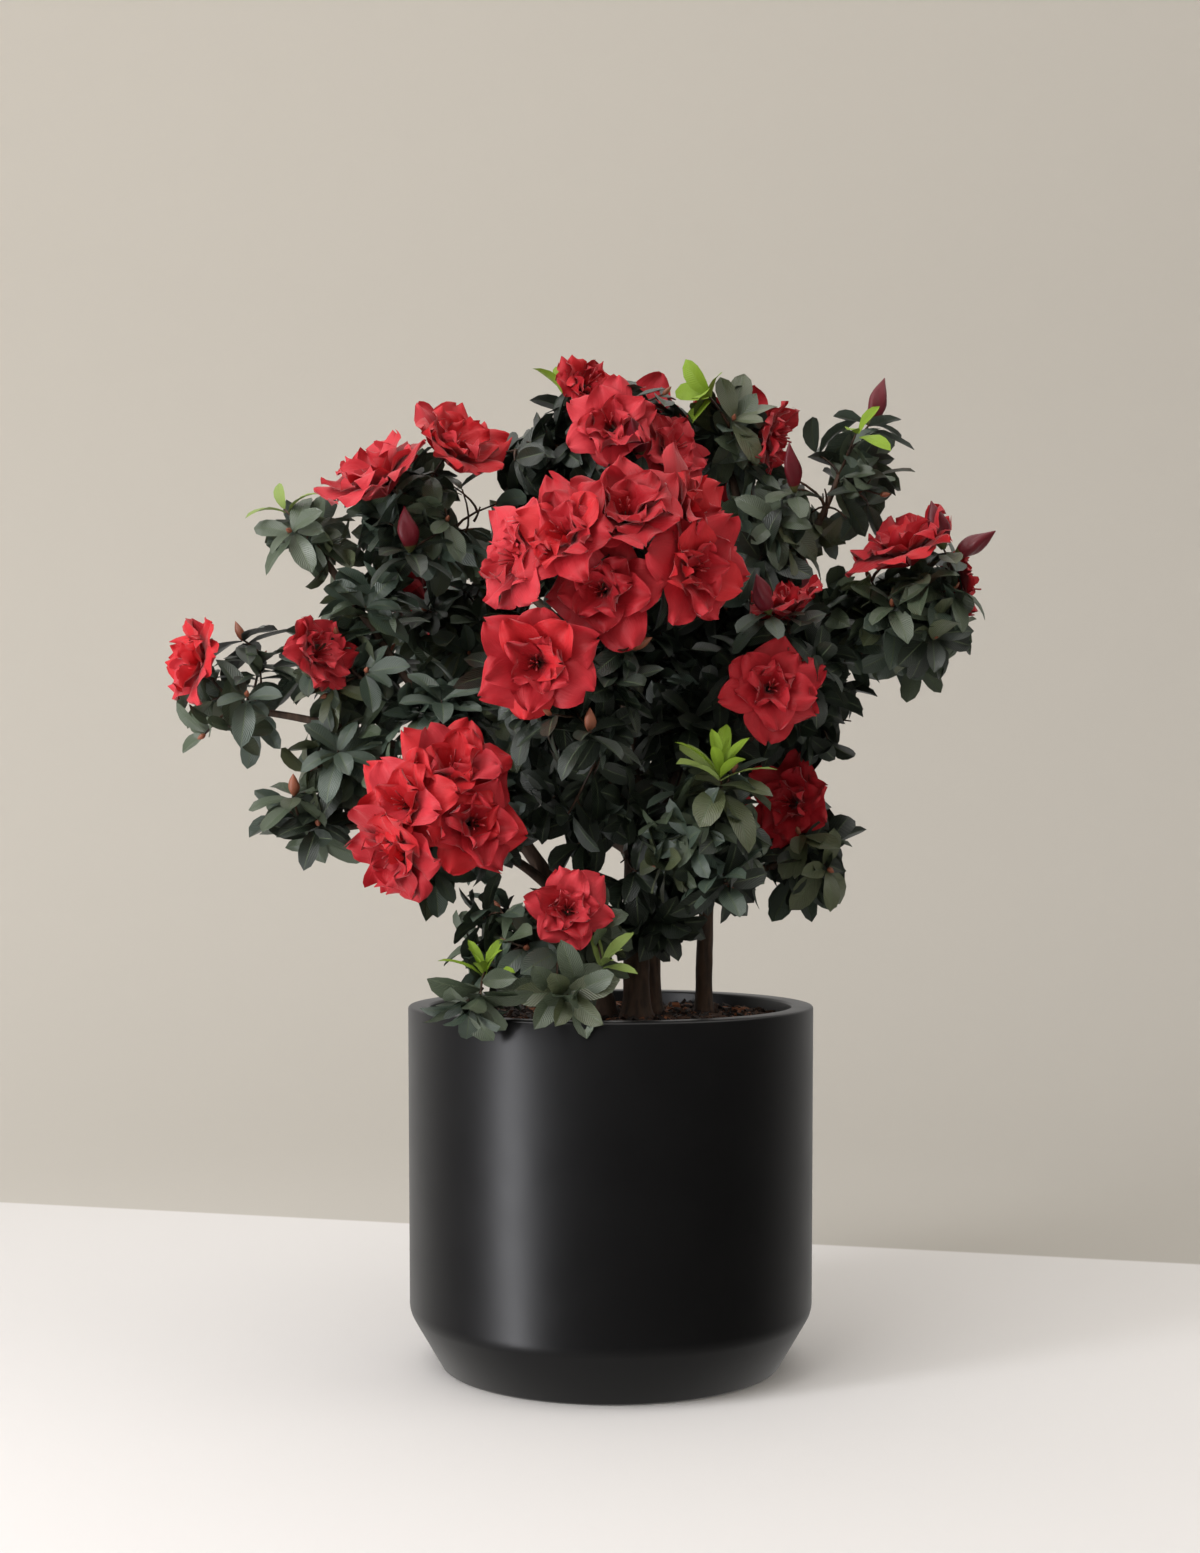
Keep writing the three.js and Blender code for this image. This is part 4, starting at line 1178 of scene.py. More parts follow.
@lru_cache(maxsize=None)
def mottle_group():
    """Soft patches over a surface, as a value between a low and a high one."""
    tree, given, result = node_group(
        "surface_mottle", {"Scale": 60.0, "Low": 0.4, "High": 0.5}, "Value")
    patches = add_node(tree, "TexNoise", {
        "Vector": place_on(tree, "Object"), "Scale": given.outputs["Scale"], "Detail": 4})
    spread = add_node(tree, "MapRange", {
        "Value": patches.outputs["Fac"], "From Min": 0.3, "From Max": 0.7,
        "To Min": given.outputs["Low"], "To Max": given.outputs["High"]})
    tree.links.new(spread.outputs["Result"], result.inputs["Value"])
    return tree


@lru_cache(maxsize=None)
def vein_group():
    """Side veins that slant from a midrib, as a height, read from a leaf's own map."""
    tree, given, result = node_group("leaf_veins", {"Count": 9.0, "Slant": 5.0}, "Height")
    parts = add_node(tree, "SeparateXYZ", {"Vector": place_on(tree, "UV")})
    aside = maths(tree, "ABSOLUTE", maths(tree, "SUBTRACT", parts.outputs["X"], 0.5))
    slanted = maths(tree, "MULTIPLY", aside, given.outputs["Slant"])
    rows = maths(tree, "MULTIPLY", parts.outputs["Y"], given.outputs["Count"])
    turns = maths(tree, "MULTIPLY", maths(tree, "SUBTRACT", rows, slanted), 2 * math.pi)
    wave = maths(tree, "ABSOLUTE", maths(tree, "SINE", turns))
    tree.links.new(maths(tree, "POWER", wave, 0.5), result.inputs["Height"])
    return tree


def plain_material(name, colour, roughness, more=()):
    """A material with a plain base colour, and its shader, which may have more sockets set."""
    material = bpy.data.materials.new(name)
    material.use_nodes = True
    shader = material.node_tree.nodes["Principled BSDF"]
    plain = {"Base Color": (*colour, 1), "Roughness": roughness}
    for socket, value in {**plain, **dict(more)}.items():
        shader.inputs[socket].default_value = value
    material.diffuse_color = (*colour, 1)
    return material, shader


def vary_roughness(shader, scale, low, high):
    """Lets a shader's roughness vary in soft patches between two values."""
    patches = add_node(shader.id_data, "Group", {"Scale": scale, "Low": low, "High": high},
                       node_tree=mottle_group())
    shader.id_data.links.new(patches.outputs["Value"], shader.inputs["Roughness"])


def add_bump(shader, height, strength, distance):
    """Raises a surface by a height that varies over it."""
    bump = add_node(shader.id_data, "Bump", {
        "Strength": strength, "Distance": distance, "Height": height})
    shader.id_data.links.new(bump.outputs["Normal"], shader.inputs["Normal"])


def noise_height(shader, scale, stretch=(1, 1, 1), detail=5, source="Object"):
    """A noise over a surface, as a height or a factor, stretched along an axis."""
    tree = shader.id_data
    mapping = add_node(tree, "Mapping", {"Vector": place_on(tree, source), "Scale": stretch})
    noise_node = add_node(tree, "TexNoise", {
        "Vector": mapping.outputs["Vector"], "Scale": scale, "Detail": detail})
    return noise_node.outputs["Fac"]


def glaze_material():
    material, shader = plain_material("satin_black_glaze", (0.0038, 0.0036, 0.0040), 0.37)
    vary_roughness(shader, scale=30, low=0.35, high=0.39)
    grain = noise_height(shader, scale=900, detail=2)
    add_bump(shader, grain, strength=0.06, distance=0.0002)
    return material


def leaf_material(name, colour, roughness=0.37, gloss=0.95):
    """A green with side veins in relief."""
    material, shader = plain_material(name, colour, roughness, {"Specular IOR Level": gloss})
    vary_roughness(shader, scale=90, low=roughness - 0.08, high=roughness + 0.1)
    veins = add_node(shader.id_data, "Group", node_tree=vein_group())
    add_bump(shader, veins.outputs["Height"], strength=0.5, distance=0.0006)
    return material


def petal_material(name, colour):
    """A velvety red, finely wrinkled along the petal."""
    material, shader = plain_material(name, colour, 0.55, {
        "Sheen Weight": 0.38, "Sheen Roughness": 0.4, "Sheen Tint": (1, 0.6, 0.62, 1),
        "Specular IOR Level": 0.35})
    vary_roughness(shader, scale=120, low=0.48, high=0.62)
    wrinkles = noise_height(shader, scale=1, stretch=(16, 2.2, 1), detail=4, source="UV")
    add_bump(shader, wrinkles, strength=0.5, distance=0.0009)
    return material


def wood_material(name, stops, scale, roughness, strength):
    """Bark or wood whose colour and relief run lengthwise."""
    material, shader = plain_material(name, stops[0][1], roughness)
    streaks = noise_height(shader, scale, stretch=(1, 1, 0.22), detail=6)
    colour = colour_ramp(shader.id_data, streaks, stops)
    shader.id_data.links.new(colour, shader.inputs["Base Color"])
    vary_roughness(shader, scale=150, low=roughness - 0.08, high=roughness + 0.08)
    add_bump(shader, streaks, strength, distance=0.0015)
    return material


def leaf_materials():
    """The dark greens dealt out by spray, the midrib's, and the two of young shoots."""
    return [
        # The darkest green stands mostly for painted shade on sprays deep in the crown.
        leaf_material("leaf_deep", (0.018, 0.028, 0.017)),
        leaf_material("leaf_blue_green", (0.054, 0.080, 0.058)),
        leaf_material("leaf_mid", (0.074, 0.100, 0.060)),
        leaf_material("leaf_olive", (0.078, 0.094, 0.044)),
        leaf_material("leaf_midrib", (0.100, 0.130, 0.075), roughness=0.5, gloss=0.5),
        leaf_material("leaf_lime", (0.240, 0.375, 0.030), roughness=0.5, gloss=0.3),
        leaf_material("leaf_pale", (0.250, 0.340, 0.090), roughness=0.5, gloss=0.3),
    ]


def petal_materials():
    """Four reds dealt out by bloom, and the throat's."""
    return [
        petal_material("petal_crimson", (0.43, 0.008, 0.017)),
        petal_material("petal_scarlet", (0.53, 0.009, 0.016)),
        petal_material("petal_rose", (0.56, 0.028, 0.042)),
        petal_material("petal_deep", (0.40, 0.007, 0.015)),
        petal_material("petal_throat", (0.22, 0.003, 0.007)),
    ]


# Pieces


# Points nearer than this many metres are one.
MERGED = 1e-6

# The planter: how much its drum is drawn in from the rim and its inside from the lip, how many
# steps go round it, and at which corners of its profile the edge's rounding is how many times
# as wide
DRUM_TAPER = 1.5
WALL_TAPER = 1
PLANTER_STEPS = 128
EDGE_SHARES = ((1, 1), (2, 2.5), (3, 1), (4, 1), (5, 2))

# The soil: how much narrower its foot is, its rings and steps, the height and width of its
# swells, and the rim of it and the depth under its top that they leave alone
SOIL_TAPER = 25
SOIL_RINGS = 26
SOIL_STEPS = 96
SOIL_SWELLS = ((2.2, 9), (1.0, 3))
LEVEL_RIM, LEVEL_DEPTH = 2, 1

# The chips: how many, how far they keep off the wall, how high they lie and how thick their
# heap is, their least size and how much larger the largest are, how crooked their corners are,
# how far they tilt, and the shares of them up to which they are dark and brown
CHIPS = 3600
CHIP_SEED = 7
CHIPS_OFF_WALL = 5
CHIP_LIFT, CHIP_HEAP = 0.5, 2.5
CHIP_SIZE, CHIP_GROWTH = np.array([2, 1.6, 0.8]), np.array([6, 3, 1.2])
CROOKED = 0.5
CHIP_TILT = 0.45
CHIP_SHARES = (0.5, 0.85)
CHIP_CORNERS = np.array([(x, y, z) for z in (-1, 1) for y in (-1, 1) for x in (-1, 1)]) * 0.5
CHIP_FACES = np.array([(0, 2, 3, 1), (4, 5, 7, 6), (0, 1, 5, 4), (2, 6, 7, 3), (0, 4, 6, 2),
                       (1, 3, 7, 5)])

# The bark: how closely its relief follows round a limb, how long its ridges and knots are and
# how closely each is set, how far knots swell a limb, and a ridge's height on a thin limb and
# how it grows with the radius
BARK_ROUND = 1.6
RIDGE_ROUND, RIDGE_LENGTH = 1.7, 22
KNOT_ROUND, KNOT_LENGTH = 0.8, 9
KNOT_SHIFT = (7, 3)
KNOT_SWELL = 0.07
RIDGE_HEIGHT, RIDGE_GROWTH = 0.35, 0.05

# How many sides a stem's and a bough's mesh has, and how long each ring is
STEM_MESH = (20, 4)
BOUGH_MESH = (12, 5)
LEAST_RINGS = 6

# Rings and sides of twigs and stamens, and a stamen's radii at its foot and tip, its length
# as shares of a petal's, how far it leans out and how far it bows
TWIG_MESH = (5, 6)
STAMEN_MESH = (5, 4)
STAMEN_RADII = (0.35, 0.55)
STAMEN_REACH = (0.45, 0.6)
STAMEN_LEAN = (0.1, 0.3)
STAMEN_BOW = 1.5

# The buds' sizes vary by chance. A flower bud's radius is a share of its length, and the first
# rows of its faces are green.
BUD_CHANCE = (0.85, 1.15)
BUD_SLIM = 0.18
GREEN_ROWS = 2


def dress(piece, nodes=()):
    """Makes a piece ride with the plant, and hides the frame's nodes that it stands for."""
    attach(piece, "root")
    if nodes:
        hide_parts(*nodes)


def piece_from(bm, name, material):
    """A new object from a bmesh, with its doubles merged and its faces turned outwards."""
    bmesh.ops.remove_doubles(bm, verts=bm.verts, dist=MERGED)
    bmesh.ops.recalc_face_normals(bm, faces=bm.faces)
    mesh = bpy.data.meshes.new(name)
    bm.to_mesh(mesh)
    bm.free()
    mesh.materials.append(material)
    return new_piece(mesh)


def spun(profile, steps, rounding=(), segments=3):
    """A bmesh of a profile of (radius, height) corners in millimetres, turned about +Z.

    rounding gives (corner, radius) for the corners that are rounded first.
    """
    bm = bmesh.new()
    verts = [bm.verts.new((radius * MM, 0, height * MM)) for radius, height in profile]
    for low, high in zip(verts, verts[1:]):
        bm.edges.new((low, high))
    for corner, radius in rounding:
        bmesh.ops.bevel(bm, geom=[verts[corner]], offset=radius * MM, affect="VERTICES",
                        segments=segments, profile=0.5, material=-1)
    geom = bm.verts[:] + bm.edges[:]
    bmesh.ops.spin(bm, geom=geom, cent=(0, 0, 0), axis=(0, 0, 1), angle=2 * math.pi,
                   steps=steps, use_merge=True)
    return bm


def make_planter(settings):
    """The glazed planter: a drum with a bevelled foot and a flat rim, its edges softened."""
    rim, wall = settings.rim_radius / MM, settings.wall / MM
    foot, shoulder = settings.foot_radius / MM, settings.shoulder_height / MM
    drum = rim - DRUM_TAPER
    slope = (drum - foot) / shoulder
    profile = [
        (0, 0), (foot, 0), (drum, shoulder), (rim, POT_HEIGHT), (rim - wall, POT_HEIGHT),
        (rim - wall - WALL_TAPER, shoulder + wall), (foot - wall + slope * wall, wall), (0, wall),
    ]
    rounding = [(corner, share * settings.edge_radius / MM) for corner, share in EDGE_SHARES]
    piece = piece_from(spun(profile, PLANTER_STEPS, rounding), "planter", glaze_material())
    dress(piece, ["pot"])


def soil_materials():
    """The dark, brown and rusty looks of the bark chips."""
    looks = (
        ("chip_dark", ((0.3, (0.010, 0.006, 0.004)), (0.7, (0.030, 0.016, 0.010)))),
        ("chip_brown", ((0.3, (0.035, 0.016, 0.009)), (0.7, (0.085, 0.040, 0.022)))),
        ("chip_rust", ((0.3, (0.130, 0.040, 0.015)), (0.7, (0.340, 0.120, 0.045)))),
    )
    return [wood_material(name, stops, scale=220, roughness=0.75, strength=0.5)
            for name, stops in looks]


def make_soil(materials):
    """The potting mix: a body that fills the planter, with an uneven top."""
    low = SOIL_BOX[0].z / MM
    top = [(SOIL_RADIUS * (1 - i / SOIL_RINGS), SOIL_TOP) for i in range(SOIL_RINGS + 1)]
    bm = spun([(0, low), (SOIL_RADIUS - SOIL_TAPER, low), *top], SOIL_STEPS)
    for vert in bm.verts:
        out = math.hypot(vert.co.x, vert.co.y) / MM
        if vert.co.z / MM > SOIL_TOP - LEVEL_DEPTH and out < SOIL_RADIUS - LEVEL_RIM:
            for height, width in SOIL_SWELLS:
                vert.co.z += height * MM * noise.noise(vert.co / (width * MM))
    dress(piece_from(bm, "soil_body", materials[0]), ["soil"])


def make_chips(materials):
    """Chips of bark strewn over the soil, lying every way."""
    draw = np.random.default_rng(CHIP_SEED)
    out = (SOIL_RADIUS - CHIPS_OFF_WALL) * np.sqrt(draw.random(CHIPS))
    turn = draw.random(CHIPS) * 2 * math.pi
    rise = SOIL_TOP + CHIP_LIFT + draw.random(CHIPS) * CHIP_HEAP
    origin = np.stack([out * np.cos(turn), out * np.sin(turn), rise], axis=-1)
    size = CHIP_SIZE + CHIP_GROWTH * draw.random(CHIPS)[:, None] ** 3
    crooked = 1 + CROOKED * (draw.random((CHIPS, *CHIP_CORNERS.shape)) - 0.5)
    corners = CHIP_CORNERS * crooked * size[:, None]
    angles = np.stack([draw.normal(0, CHIP_TILT, CHIPS), draw.normal(0, CHIP_TILT, CHIPS),
                       draw.random(CHIPS) * 2 * math.pi], axis=-1)
    turned = np.array([
        corners[i] @ np.array(Matrix.Rotation(c, 3, "Z") @ Matrix.Rotation(b, 3, "Y")
                              @ Matrix.Rotation(a, 3, "X")).T
        for i, (a, b, c) in enumerate(angles)
    ])
    look = np.searchsorted(CHIP_SHARES, draw.random(CHIPS))
    faces = repeated(CHIP_FACES, CHIPS, len(CHIP_CORNERS))
    piece = joined_mesh("bark_chips", turned + origin[:, None], faces, materials,
                        np.repeat(look, len(CHIP_FACES)))
    piece.data.shade_flat()
    dress(piece)


def bark_radius(limb, share, turn, at, relief):
    """The limb's radius at a place, with lengthwise ridges and low knots."""
    radius = limb.radius_at(share)
    around = Vector((math.cos(turn), math.sin(turn), 0)) * BARK_ROUND
    ridges = noise.noise(around * RIDGE_ROUND + Vector((0, 0, at.z / RIDGE_LENGTH)))
    knots = noise.noise(around * KNOT_ROUND + Vector((*KNOT_SHIFT, at.z / KNOT_LENGTH)))
    height = relief * (RIDGE_HEIGHT + RIDGE_GROWTH * radius)
    return radius * (1 + KNOT_SWELL * knots) + height * ridges


def edges_of(ring):
    """The edges that join a ring's vertices to one another."""
    touching = dict.fromkeys(edge for vert in ring for edge in vert.link_edges)
    return [edge for edge in touching if all(vert in ring for vert in edge.verts)]


def add_limb(bm, limb, sides, ring_length, relief):
    """A limb in a bmesh: a circle at the root, extruded ring by ring to the tip."""
    rings = max(LEAST_RINGS, round(limb.length / ring_length))
    number = bm.verts.layers.int["number"]
    ring = bmesh.ops.create_circle(bm, cap_ends=True, segments=sides, radius=1)["verts"]
    for i, vert in enumerate(ring):
        vert[number] = i
    side = across(limb.curve.along(0), 0)
    for i in range(rings + 1):
        share = i / rings
        along = limb.curve.along(share)
        side = (side - along * side.dot(along)).normalized()
        other = along.cross(side)
        at = limb.curve.at(share)
        if i:
            made = bmesh.ops.extrude_edge_only(bm, edges=edges_of(ring))["geom"]
            ring = [item for item in made if isinstance(item, bmesh.types.BMVert)]
        for vert in ring:
            turn = vert[number] * 2 * math.pi / sides
            radius = bark_radius(limb, share, turn, at, relief)
            vert.co = (at + side * math.cos(turn) * radius + other * math.sin(turn) * radius) * MM
    bmesh.ops.contextual_create(bm, geom=edges_of(ring))


def make_bark(settings):
    """The stems and boughs with the bark's relief, in one piece."""
    bm = bmesh.new()
    bm.verts.layers.int.new("number")
    limbs = crown().limbs
    for name, limb in limbs.items():
        add_limb(bm, limb, *(STEM_MESH if name in STEMS else BOUGH_MESH), settings.relief / MM)
    stops = ((0.3, settings.dark_bark), (0.55, settings.light_bark), (0.75, settings.dark_bark))
    material = wood_material("bark", stops, scale=160, roughness=0.8, strength=0.7)
    dress(piece_from(bm, "bark_relief", material), list(limbs))


def make_twigs(settings):
    """Every twig of the crown as a tapering tube."""
    twigs = crown().twigs
    points = tube_points([t.curve for t in twigs], [t.radii for t in twigs], *TWIG_MESH)
    stops = ((0.35, settings.young_bark), (0.65, settings.dark_bark))
    material = wood_material("twig_bark", stops, scale=300, roughness=0.65, strength=0.3)
    piece = joined_mesh("twigs", points, tube_faces(len(twigs), *TWIG_MESH), [material])
    dress(piece)


def leaf_looks(leaves):
    """Each leaf face's material: the spray's own, and a dark leaf's midrib down its middle."""
    looks = values_of(leaves, "look")[:, None, None]
    faces = np.tile(looks, (1, len(LEAF_ROWS) - 1, len(LEAF_COLUMNS) - 1))
    midrib = faces[..., LEAF_MIDRIB]
    midrib[midrib < DARK_LEAVES] = MIDRIB_LOOK
    return faces


def make_leaves(name, leaves, settings, materials, nodes):
    """One piece of leaves, all in their own outline."""
    points = leaf_points(leaves, settings.leaf_length / MM, settings.leaf_width / MM)
    faces, places = sheets(len(leaves), LEAF_ROWS, (LEAF_COLUMNS + 1) / 2)
    piece = joined_mesh(name, points, faces, materials, leaf_looks(leaves), places)
    dress(piece, nodes)


def foot_of(bloom, settings):
    """Where a bloom's petals and stamens meet, behind its middle."""
    return bloom.at - bloom.facing * settings.throat_depth / MM


def make_petals(blooms, settings):
    """Every bloom's petals in one piece."""
    petals, owners = [], []
    for bloom in blooms:
        own = petals_of(bloom)
        petals += own
        owners += [bloom] * len(own)
    points = petal_points(petals, settings.petal_length / MM, settings.petal_width / MM,
                          settings.ruffle / MM)
    feet = [foot_of(bloom, settings) for bloom in owners]
    points = placed(points, [bloom.facing for bloom in owners], feet)
    faces, places = sheets(len(petals), PETAL_SHARES, (PETAL_COLUMNS + 1) / 2)
    looks = np.array([petal["look"] for petal in petals])[:, None, None]
    looks = np.tile(looks, (1, len(PETAL_SHARES) - 1, len(PETAL_COLUMNS) - 1))
    looks[:, :THROAT_ROWS] = THROAT_LOOK
    dress(joined_mesh("petals", points, faces, petal_materials(), looks, places))


def make_stamens(blooms, settings):
    """Thin stamens in every bloom's throat."""
    curves = []
    for bloom in blooms:
        start = foot_of(bloom, settings)
        for i in range(STAMENS):
            side = across(bloom.facing, i * 2 * math.pi / STAMENS + bloom.tip.phase)
            reach = settings.petal_length / MM * lerp(*STAMEN_REACH, bloom.tip.draw())
            lean = side * lerp(*STAMEN_LEAN, bloom.tip.draw())
            end = start + (bloom.facing + lean).normalized() * reach
            curves.append(Curve(start, start.lerp(end, 0.5) - side * STAMEN_BOW, end))
    points = tube_points(curves, [STAMEN_RADII] * len(curves), *STAMEN_MESH)
    material, shader = plain_material("stamen", (0.30, 0.012, 0.016), 0.5)
    vary_roughness(shader, scale=200, low=0.42, high=0.6)
    piece = joined_mesh("stamens", points, tube_faces(len(curves), *STAMEN_MESH), [material])
    dress(piece)


def bud_materials():
    """The maroon of flower buds, the rust brown of leaf buds, and the green at their foot."""
    looks = (("bud_maroon", (0.13, 0.005, 0.013)), ("bud_rust", (0.26, 0.085, 0.045)),
             ("bud_foot", (0.09, 0.10, 0.03)))
    materials = []
    for name, colour in looks:
        material, shader = plain_material(name, colour, 0.45)
        vary_roughness(shader, scale=200, low=0.38, high=0.55)
        wrinkles = noise_height(shader, scale=700, stretch=(1, 1, 0.3), detail=3)
        add_bump(shader, wrinkles, strength=0.3, distance=0.0006)
        materials.append(material)
    return materials


def make_buds(settings):
    """The large maroon flower buds, small rust-brown ones, and tiny ones that end leafy twigs."""
    tips = crown().tips
    small = [tip for tip in tips if tip.kind == "bud" and tip.mass.name in RUST_BUDS]
    large = [tip for tip in tips if tip.kind == "bud" and tip.mass.name not in RUST_BUDS]
    tiny = [tip for tip in tips if tip.kind == "leafy"]
    materials = bud_materials()
    maroon, rust, green = range(len(materials))
    length = settings.bud_length / MM
    for name, group, full_length, full_radius, look, rows, sides, lobes in (
            ("flower_buds", large, length, length * BUD_SLIM, maroon, 14, 18, 0.26),
            ("leaf_buds", small, 15, 3.1, rust, 9, 12, 0.1),
            ("tip_buds", tiny, 7, 1.7, rust, 6, 6, 0.1)):
        lengths = [full_length * lerp(*BUD_CHANCE, tip.draw()) for tip in group]
        radii = [full_radius * lerp(*BUD_CHANCE, tip.draw()) for tip in group]
        points = bud_points(lengths, radii, rows, sides, lobes)
        points = placed(points, [tip.axis for tip in group], [tip.at - tip.axis for tip in group])
        wall = np.full((len(group), rows - 1, sides), look)
        if look == maroon:
            wall[:, :GREEN_ROWS] = green
        looks = np.concatenate([wall.ravel(), np.full(2 * len(group), look)])
        faces = tube_faces(len(group), rows, sides)
        dress(joined_mesh(name, points, faces, materials, looks))


# The stage

# The stage in metres: how far the floor reaches, how high its wall is, and how wide the turn
# between them is
FLOOR_REACH, WALL_HEIGHT, FLOOR_TURN = 2.1, 3.0, 1.2
FLOOR_STEPS, TURN_SEGMENTS = 96, 12

# The line where pale floor meets beige: how far it slants and its half-width. All round, the
# floor turns beige from one distance to another.
BACK_LINE_SLANT, BACK_LINE_WIDTH = 0.269, 0.004
FADE_START, FADE_END = 0.85, 1.35

# The beige carries painted light: it runs from a darker to a lighter shade of the wall's colour,
# up and to the left, by this slope from its shade at the origin.
PAINTED_LIGHT_SHADES = (0.64, 1.34)
PAINTED_LIGHT_SLOPE = (-0.113, 0, 0.197)
PAINTED_LIGHT_MIDDLE = 0.811

# The camera's lens, reach and upward tilt in degrees, and the colour of the light all round
CAMERA_LENS, CAMERA_SENSOR = 48.5, 36
CAMERA_NEAR, CAMERA_FAR = 0.05, 20
CAMERA_PITCH = 1.48
DAYLIGHT = (1, 0.97, 0.93, 1)

# The lamps: where each stands, what it shines at, its size and its colour
LAMPS = {
    "key_lamp": ((-0.95, -1.1, 1.9), (0, 0, 0.35), (1.4, 1.4), (1, 0.985, 0.97)),
    "strip_lamp": ((-1.05, -0.76, 0.3), (0, 0, 0.3), (0.26, 2.2), (0.96, 0.96, 1)),
    "fill_lamp": ((1.5, -0.4, 1.7), (0, 0, 0.35), (1.2, 1.2), (1, 0.98, 0.96)),
}


def make_floor(settings):
    """A wide pale floor that curves up into a soft beige wall all round."""
    reach, height = FLOOR_REACH / MM, WALL_HEIGHT / MM
    bm = spun([(0, 0), (reach, 0), (reach, height)], FLOOR_STEPS, ((1, FLOOR_TURN / MM),),
              TURN_SEGMENTS)
    piece = piece_from(bm, "studio_floor", floor_material(settings))
    piece.data.flip_normals()
    piece.visible_glossy = False
    piece.visible_shadow = False


def floor_material(settings):
    """Pale under the object, beige beyond a slanted line behind it and far out all round, with
    painted light that lightens the beige up and to the left.
    """
    material, shader = plain_material("studio_floor", settings.floor_colour, 0.9,
                                      {"Specular IOR Level": 0.1})
    tree = material.node_tree
    place = place_on(tree, "Object")

    def measure(operation, *vectors):
        values = enumerate((place, *vectors))
        return add_node(tree, "VectorMath", values, operation=operation).outputs["Value"]

    def spread(value, start, end, kind):
        node = add_node(tree, "MapRange", {"Value": value, "From Min": start, "From Max": end},
                        interpolation_type=kind)
        return node.outputs["Result"]

    back, half = settings.pale_reach, BACK_LINE_WIDTH
    behind = spread(measure("DOT_PRODUCT", (BACK_LINE_SLANT, 1, 0)), back - half, back + half,
                    "SMOOTHSTEP")
    far = spread(measure("LENGTH"), FADE_START, FADE_END, "SMOOTHSTEP")
    # The painted light: the beige's shade follows a slope, lighter up and to the left.
    low, high = (shade - PAINTED_LIGHT_MIDDLE for shade in PAINTED_LIGHT_SHADES)
    slope = spread(measure("DOT_PRODUCT", PAINTED_LIGHT_SLOPE), low, high, "LINEAR")
    wall = [[min(part * shade, 1) for part in settings.wall_colour] for shade in PAINTED_LIGHT_SHADES]
    mix = add_node(tree, "Mix", {"Factor": maths(tree, "MAXIMUM", behind, far)},
                   data_type="RGBA")
    pale, beige = (socket for socket in mix.inputs if socket.type == "RGBA")
    pale.default_value = (*settings.floor_colour, 1)
    tree.links.new(colour_ramp(tree, slope, list(enumerate(wall))), beige)
    mixed = next(socket for socket in mix.outputs if socket.type == "RGBA")
    tree.links.new(mixed, shader.inputs["Base Color"])
    return material


def make_softbox(name, place, towards, size, colour, power):
    """A large soft lamp that shines from a place towards another."""
    lamp = bpy.data.lights.new(name, "AREA")
    lamp.shape = "RECTANGLE"
    lamp.size, lamp.size_y = size
    lamp.energy = power
    lamp.color = colour
    holder = bpy.data.objects.new(name, lamp)
    aim = (Vector(towards) - Vector(place)).to_track_quat("-Z", "Y")
    holder.matrix_world = Matrix.LocRotScale(Vector(place), aim, None)
    holder.visible_camera = False
    bpy.context.scene.collection.objects.link(holder)


def make_camera():
    """The photograph's camera: level with the crown's lower half and a touch to the left."""
    lens = bpy.data.cameras.new("camera")
    lens.lens, lens.sensor_width = CAMERA_LENS, CAMERA_SENSOR
    lens.clip_start, lens.clip_end = CAMERA_NEAR, CAMERA_FAR
    camera = bpy.data.objects.new("camera", lens)
    camera.location = EYE * MM
    camera.rotation_euler = (math.radians(90 + CAMERA_PITCH), 0, 0)
    bpy.context.scene.collection.objects.link(camera)
    bpy.context.scene.camera = camera


def make_world(settings):
    """Soft light from above, from behind where it is stronger at the left, and from below."""
    world = bpy.data.worlds.new("studio")
    bpy.context.scene.world = world
    world.use_nodes = True
    tree = world.node_tree
    background = tree.nodes["Background"]
    background.inputs["Color"].default_value = DAYLIGHT
    parts = add_node(tree, "SeparateXYZ", {"Vector": place_on(tree, "Generated")})

    def rising(axis, start, end, low, high):
        return add_node(tree, "MapRange", {
            "Value": parts.outputs[axis], "From Min": start, "From Max": end, "To Min": low,
            "To Max": high}).outputs["Result"]

    # The front stays dim, so that the glaze is dark there.
    surround = settings.surround
    behind = maths(tree, "MULTIPLY", rising("Y", 0, 0.8, surround * 0.08, surround),
                   rising("X", -0.8, 0.8, 1.25, 0.65))
    above = maths(tree, "ADD", behind, rising("Z", 0.55, 0.8, 0, settings.overhead))
    total = maths(tree, "ADD", above, rising("Z", -0.9, -0.4, surround * 0.4, 0))
    tree.links.new(total, background.inputs["Strength"])


# Settings, operators and panel

class PlanterSettings(bpy.types.PropertyGroup):
    """Sizes of the planter."""

    rim_radius: FloatProperty(
        name="Rim radius", description="Outer radius at the rim", default=POT_BOX[1].x,
        unit="LENGTH")
    wall: FloatProperty(
        name="Wall", description="Width of the rim's flat face", default=0.0135, unit="LENGTH")
    foot_radius: FloatProperty(
        name="Foot radius", description="Radius of the flat underside", default=0.1035,
        unit="LENGTH")
    shoulder_height: FloatProperty(
        name="Shoulder height", description="Height where the bevelled foot meets the drum",
        default=0.034, unit="LENGTH")
    edge_radius: FloatProperty(
        name="Edge radius", description="How far the glaze softens an edge", default=0.0016,
        unit="LENGTH")


class WoodSettings(bpy.types.PropertyGroup):
    """Looks of the stems, boughs and twigs."""

    relief: FloatProperty(
        name="Relief", description="Depth of the bark's ridges", default=0.001, unit="LENGTH")
    dark_bark: FloatVectorProperty(
        name="Dark bark", description="Colour in the bark's furrows", subtype="COLOR",
        default=(0.024, 0.014, 0.009))
    light_bark: FloatVectorProperty(
        name="Light bark", description="Colour on the bark's ridges", subtype="COLOR",
        default=(0.080, 0.046, 0.029))
    young_bark: FloatVectorProperty(
        name="Young bark", description="Colour of the thin twigs", subtype="COLOR",
        default=(0.085, 0.040, 0.020))


